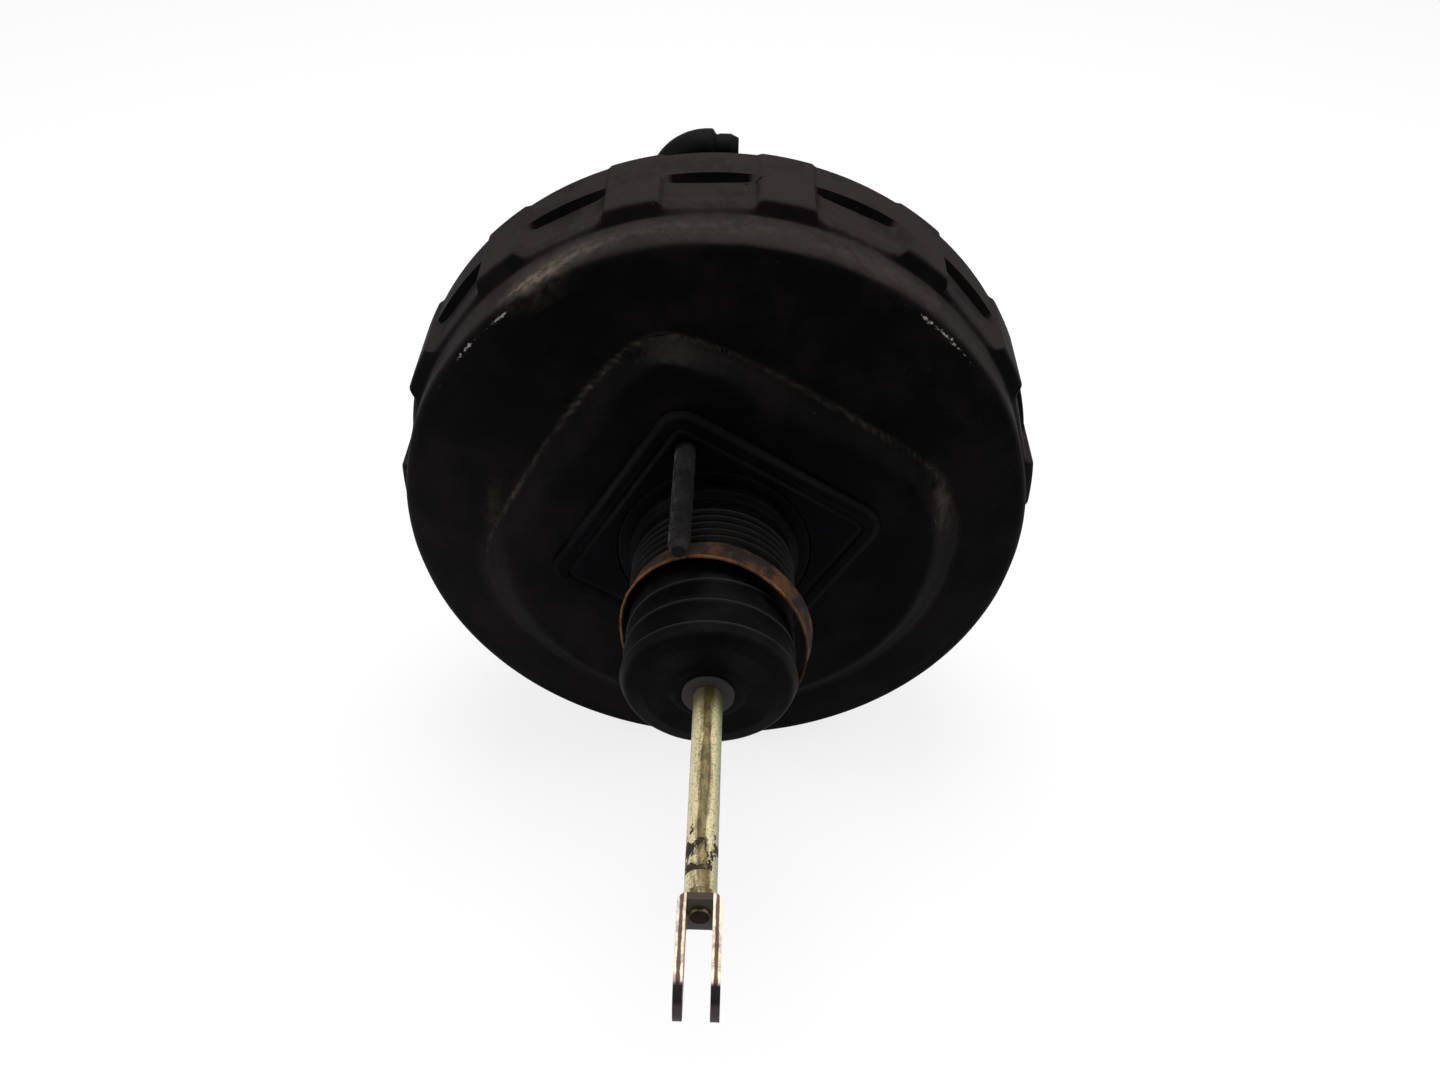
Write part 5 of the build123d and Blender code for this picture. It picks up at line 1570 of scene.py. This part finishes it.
# ---------------------------------------------------------------- studs
@dataclass
class Studs:
    """Threaded studs with conical points and a plain collar pressed into the sheet."""

    circle: float = 99.0
    turn: float = -13.5
    radius: float = 4.0
    collar: float = 4.6
    collar_end: float = 3.0
    pitch: float = 1.25
    depth: float = 0.55
    tips: tuple[float, float] = (-60.0, -53.0)
    thread_end: float = -2.0
    point: float = 3.5
    head_radius: float = 7.5
    head_ends: tuple[float, float] = (8.0, 11.5)

    def grid(self, tip: float) -> Array:
        """Bar with a helical thread and a cone.

        The radius falls by the depth times a clipped triangle wave of y / pitch + angle / 360. The collar
        and the bar's closed end inside the head come first.

        Args:
            tip: Y of the stud's end.

        Returns:
            Grid of shape (along, round, 3) about the axis Y.
        """
        collar = [8.4, 8.3, self.collar_end + 0.05, self.collar_end]
        station = np.concatenate([collar, np.arange(self.thread_end, tip, -0.14), [tip]])[:, None]
        angle = full_turn(40)
        phase = (station / self.pitch + angle / (2.0 * math.pi)) % 1.0
        wave = np.clip(np.abs(2.0 * phase - 1.0) * 1.35 - 0.15, 0.0, 1.0)
        fade = smooth_step(self.thread_end + 1.5, self.thread_end - 1.5, station)
        radius = self.radius - self.depth * wave * fade
        cone = self.radius - (tip + self.point - station) * 0.4
        radius = np.minimum(radius, np.where(station < tip + self.point, cone, 99.0))
        radius[1:3] = self.collar
        radius[0] = 2.0
        return round_axis(angle, radius, station)

    def crest(self, place: Array) -> Array:
        """Worn thread crests, with a painted highlight on the side towards -X.

        Args:
            place: places of the vertices, one row each.

        Returns:
            Share per vertex, cut to 0 to 1 when it is stored.
        """
        worn = np.zeros(len(place))
        for cx, cz in stud_centres(self.circle, self.turn):
            away = np.hypot(place[:, 0] - cx, place[:, 2] - cz)
            # share of the crest: wear all round, raised towards -X as a painted highlight
            share = 0.10 + 0.90 * smooth_step(-0.1, -0.9, (place[:, 0] - cx) / np.maximum(away, 0.01))
            crest = smooth_step(self.radius - 0.10, self.radius - 0.01, away) * (away < self.radius + 0.05)
            worn = worn + share * crest * (place[:, 1] < self.thread_end)
        return worn

    def head(self) -> Array:
        """Flat round head inside the shell."""
        (low, high), r = self.head_ends, self.head_radius
        return lathe(rounded_line([(1.0, high), (r, high, 0.4), (r, low), (1.0, low)], 2.0), 40)

    def build(self, material: bpy.types.Material) -> None:
        """Builds both studs in place of the plain ones.

        Args:
            material: material of the piece.
        """
        skin = Skin("rear_studs_threaded")
        for (x, z), tip in zip(stud_centres(self.circle, self.turn), self.tips):
            move = np.array([x, 0.0, z])
            skin.add(self.grid(tip) + move).add(self.head() + move)
        thing = skin.build(material, 35.0)
        stain(thing, "crest", self.crest)
        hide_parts("rear_studs")
        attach(thing, "shell")


# ---------------------------------------------------------------- check valve
@dataclass
class CheckCap:
    """Upper half of the check valve with its bent hose nipple."""

    x: float = -25.0
    z: float = 80.0
    station: float = 136.0
    top: float = 144.5
    radius: float = 8.0
    bend: float = 18.0
    rise: float = 11.2
    run: float = 2.0
    root: float = 2.0
    land: float = 5.0
    nipple: float = 6.0
    groove: float = 0.3
    taper: float = 3.4
    bore: float = 3.6
    cup_radius: float = 12.5
    cup_end: float = 128.1
    wall: float = 2.0

    def spout(self) -> Array:
        """Tube along the elbow's line, its radius set by the distance travelled, then back as the bore.

        Returns:
            Grid of shape (along, round, 3).
        """
        knee = self.rise + self.bend * math.pi / 2
        start = knee + self.run
        neck = start + self.root
        grip = neck + self.land
        end, low = grip + self.taper, self.nipple - self.groove
        line = rounded_line([
            (0.0, self.radius), (self.rise, self.radius), (knee, self.radius),
            (start - 0.6, self.radius, 1.2), (start + 0.9, low, 0.8), (neck, low), (neck, self.nipple, 0.1),
            (grip, self.nipple, 0.4), (end, self.nipple - 1.6, 0.4), (end, self.bore, 0.2),
            (4.0, self.bore)], 1.0)
        travel, radius = line[:, 0], line[:, 1]
        turn = np.clip((travel - self.rise) / self.bend, 0.0, math.pi / 2)
        after = np.maximum(travel - knee, 0.0)
        cx = self.x + self.bend * (1.0 - np.cos(turn)) + after
        cz = self.z + np.minimum(travel, self.rise) + self.bend * np.sin(turn)
        angle = full_turn(64)
        out = radius[:, None] * np.cos(angle)
        x = cx[:, None] - out * np.cos(turn)[:, None]
        z = cz[:, None] + out * np.sin(turn)[:, None]
        y = self.station + radius[:, None] * np.sin(angle)
        return np.stack([x, y, z], axis=-1)

    def cup(self) -> Array:
        """Round housing with a rounded top.

        Returns:
            Grid of shape (along, round, 3).
        """
        out, inner, roof = self.cup_radius, self.cup_radius - self.wall, self.top - self.wall
        line = rounded_line([(2.0, self.top), (out, self.top, 4.0), (out, self.cup_end),
                             (inner, self.cup_end), (inner, roof), (2.0, roof)], 1.5)
        return lathe(line, 72, self.x, self.z)

    def build(self, material: bpy.types.Material) -> None:
        """Builds the cap in place of the plain one.

        Args:
            material: material of the piece.
        """
        thing = Skin("check_cap_elbow").add(self.spout()).add(self.cup()).build(material, 40.0)
        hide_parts("check_cap")
        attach(thing, "shell")


# ---------------------------------------------------------------- softened copies of turned and bent parts
@dataclass
class Softened:
    """Copy of a CAD node with its sharp edges rounded by a bevel, as tumbling and plating leave them."""

    node: str
    piece: str
    body: str
    slot: str
    width: float = 0.4
    sharp: float = 30.0

    def build(self, frame: dict, material: bpy.types.Material) -> None:
        """Joins the copy's triangles, dissolves the flat ones and bevels the edges above the sharp angle.

        Args:
            material: material of the copy.
        """
        mesh = frame["nodes"][self.node].data.copy()
        work = bmesh.new()
        work.from_mesh(mesh)
        bmesh.ops.remove_doubles(work, verts=work.verts, dist=1e-6)
        bmesh.ops.dissolve_limit(work, angle_limit=math.radians(1.0), verts=work.verts, edges=work.edges)
        work.to_mesh(mesh)
        work.free()
        mesh.materials.clear()
        mesh.materials.append(material)
        mesh.shade_smooth()
        mesh.set_sharp_from_angle(angle=math.radians(self.sharp))
        thing = placed(self.piece, mesh)
        bevel = thing.modifiers.new("edges", "BEVEL")
        bevel.width, bevel.segments, bevel.limit_method = self.width * MM, 2, "ANGLE"
        bevel.angle_limit = math.radians(self.sharp)
        bevel.harden_normals = True
        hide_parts(self.node)
        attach(thing, self.body)


# ---------------------------------------------------------------- dressing of the plain nodes
@dataclass
class Wardrobe:
    """All materials by finish."""

    made: dict[Look, bpy.types.Material] = field(default_factory=dict)

    def fill(self) -> None:
        """Makes every finish once."""
        finishes = (
            BlackPaint(), RodPlating(), ForkPlating(), Rust(), Rubber(), Fibre(), Plastic(), PlatedSteel(),
            PlatedSteel(Look.ZINC, film=(0.060, 0.056, 0.050), pale=(0.115, 0.108, 0.095),
                        stain=(0.020, 0.013, 0.008), spots=0.3, metal=0.7, rough=0.4),
            PlatedSteel(Look.SPRING, film=(0.20, 0.19, 0.18), pale=(0.33, 0.32, 0.30),
                        stain=(0.05, 0.03, 0.02), spots=0.1, metal=0.9, rough=0.35),
            Plastic(Look.RESIN, (0.006, 0.006, 0.0065), (0.02, 0.018, 0.015), rough=0.45, shine=0.3),
            Plastic(Look.NYLON, (0.029, 0.027, 0.024), (0.012, 0.010, 0.008), rough=0.6, shine=0.1),
            Rubber(Look.FLEECE, (0.22, 0.21, 0.19), (0.33, 0.32, 0.29), (0.4, 0.4, 0.4), rough=0.8),
        )
        for finish in finishes:
            self.made[finish.look] = finish.material()

    def get(self, look: Look) -> bpy.types.Material:
        """Material of a finish."""
        return self.made[look]

    def dress(self, frame: dict) -> None:
        """Gives every CAD node the finish of its slot in the record.
        """
        slots = {part["node"]: part["material_slot"] for part in frame["record"]["subparts"]}
        for name, thing in frame["nodes"].items():
            LOG.info("node %s wears %s", name, slots[name])
            for place in thing.material_slots:
                place.material = self.made[Look(slots[name])]


# ---------------------------------------------------------------- studio
@dataclass
class Studio:
    """Floor, lamps, world and camera."""

    floor_level: float = -133.0
    eye: tuple[float, float, float] = (5.086, -463.04, 378.89)
    pitch: float = 38.88
    yaw: float = 0.334
    roll: float = 1.408
    lens: float = 37.5
    sensor: float = 36.0
    floor_half: float = 6.0
    floor_white: float = 0.8
    surroundings: Colour = (0.36, 0.36, 0.37)

    def camera(self) -> None:
        """Camera from its place and its pitch, yaw and roll."""
        p, y, r = (math.radians(a) for a in (self.pitch, self.yaw, self.roll))
        spin = np.array([[math.cos(y), -math.sin(y), 0], [math.sin(y), math.cos(y), 0], [0, 0, 1]])
        right = spin @ np.array([1.0, 0.0, 0.0])
        ahead = spin @ np.array([0.0, math.cos(p), -math.sin(p)])
        up = spin @ np.array([0.0, math.sin(p), math.cos(p)])
        side, top = math.cos(r) * right + math.sin(r) * up, -math.sin(r) * right + math.cos(r) * up
        place = np.eye(4)
        place[:3] = np.stack([side, top, -ahead, np.array(self.eye) * MM], axis=-1)
        data = bpy.data.cameras.new("camera")
        data.lens, data.sensor_width, data.clip_start = self.lens, self.sensor, 0.01
        thing = placed("camera", data)
        thing.matrix_world = Matrix(place.tolist())
        bpy.context.scene.camera = thing

    def floor(self) -> None:
        """Pale floor: mostly its own white to the camera, so that only a faint shadow is left on it."""
        mesh = bpy.data.meshes.new("floor")
        side, level = self.floor_half, self.floor_level * MM
        corners = [(-side, -side, level), (side, -side, level), (side, side, level), (-side, side, level)]
        mesh.from_pydata(corners, [], [(0, 1, 2, 3)])
        thing = placed("floor", mesh)
        g = Graph("floor")
        g.finish(Base_Color=(0.88, 0.88, 0.88), Roughness=0.9, Specular_IOR_Level=0.0)
        seen = g.times(g.node("LightPath").outputs["Is Camera Ray"], self.floor_white)
        mixed = g.node("MixShader")
        for source, socket in zip((seen, g.shader.outputs[0], g.node("Emission").outputs[0]), mixed.inputs):
            g.link(source, socket)
        g.link(mixed.outputs[0], g.tree.nodes["Material Output"].inputs["Surface"])
        mesh.materials.append(g.material)

    def world(self) -> None:
        """Even pale surroundings, white to the camera and in reflections."""
        world = bpy.data.worlds.new("studio")
        bpy.context.scene.world = world
        world.use_nodes = True
        tree = world.node_tree
        back = tree.nodes["Background"]
        rays = tree.nodes.new("ShaderNodeLightPath")
        seen = rays.outputs["Is Camera Ray"]
        for name in ("Is Glossy Ray", "Is Transmission Ray"):
            either = tree.nodes.new("ShaderNodeMath")
            either.operation = "MAXIMUM"
            tree.links.new(seen, either.inputs[0])
            tree.links.new(rays.outputs[name], either.inputs[1])
            seen = either.outputs[0]
        mix = tree.nodes.new("ShaderNodeMix")
        mix.data_type = "RGBA"
        mix.inputs[Graph.MIX_A].default_value = (*self.surroundings, 1.0)
        mix.inputs[Graph.MIX_B].default_value = (1.0, 1.0, 1.0, 1.0)
        tree.links.new(seen, mix.inputs[Graph.MIX_SHARE])
        tree.links.new(mix.outputs[Graph.MIX_RESULT], back.inputs["Color"])
        back.inputs["Strength"].default_value = 1.0

    def lamp(self, name: str, place: Sequence[float], size: float, power: float) -> None:
        """Square area lamp aimed at the origin.

        Args:
            name: the lamp's name.
            place: where it hangs, in metres.
            size: its side in metres.
            power: its power in watts.
        """
        data = bpy.data.lights.new(name, "AREA")
        data.size, data.energy = size, power
        thing = placed(name, data)
        turn = Vector(place).to_track_quat("Z", "Y").to_matrix().to_4x4()
        thing.matrix_world = Matrix.Translation(place) @ turn

    def build(self) -> None:
        """Sets up the whole studio."""
        self.camera()
        self.floor()
        self.world()
        self.lamp("lamp_top", (0.0, 0.35, 1.2), 1.0, 17.0)
        self.lamp("lamp_left", (-1.0, -0.4, 0.8), 0.8, 6.0)
        self.lamp("lamp_right", (1.0, 0.0, 0.8), 0.8, 6.0)
        bpy.context.scene.view_settings.view_transform = "Standard"


def main() -> None:
    """Builds the pieces in order and reports each one."""
    logging.basicConfig(level=logging.INFO, format="%(message)s")
    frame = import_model()
    wardrobe = Wardrobe()
    wardrobe.fill()
    wardrobe.dress(frame)
    RearShell().build(wardrobe.get(Look.PAINT))
    LOG.info("rear shell built")
    Gasket().build(wardrobe.get(Look.FIBRE))
    LOG.info("gasket built")
    Studs().build(wardrobe.get(Look.STUD))
    LOG.info("studs built")
    Boot().build(wardrobe.get(Look.RUBBER))
    LOG.info("boot built")
    Band().build(wardrobe.get(Look.RUST))
    LOG.info("band built")
    CheckCap().build(wardrobe.get(Look.GLOSS))
    LOG.info("check valve built")
    fork = Softened("clevis_fork", "clevis_fork_worn", "pushrod", "yellow_zinc")
    fork.build(frame, wardrobe.get(Look.FORK))
    LOG.info("fork built")
    Studio().build()


if __name__ == "__main__":
    main()
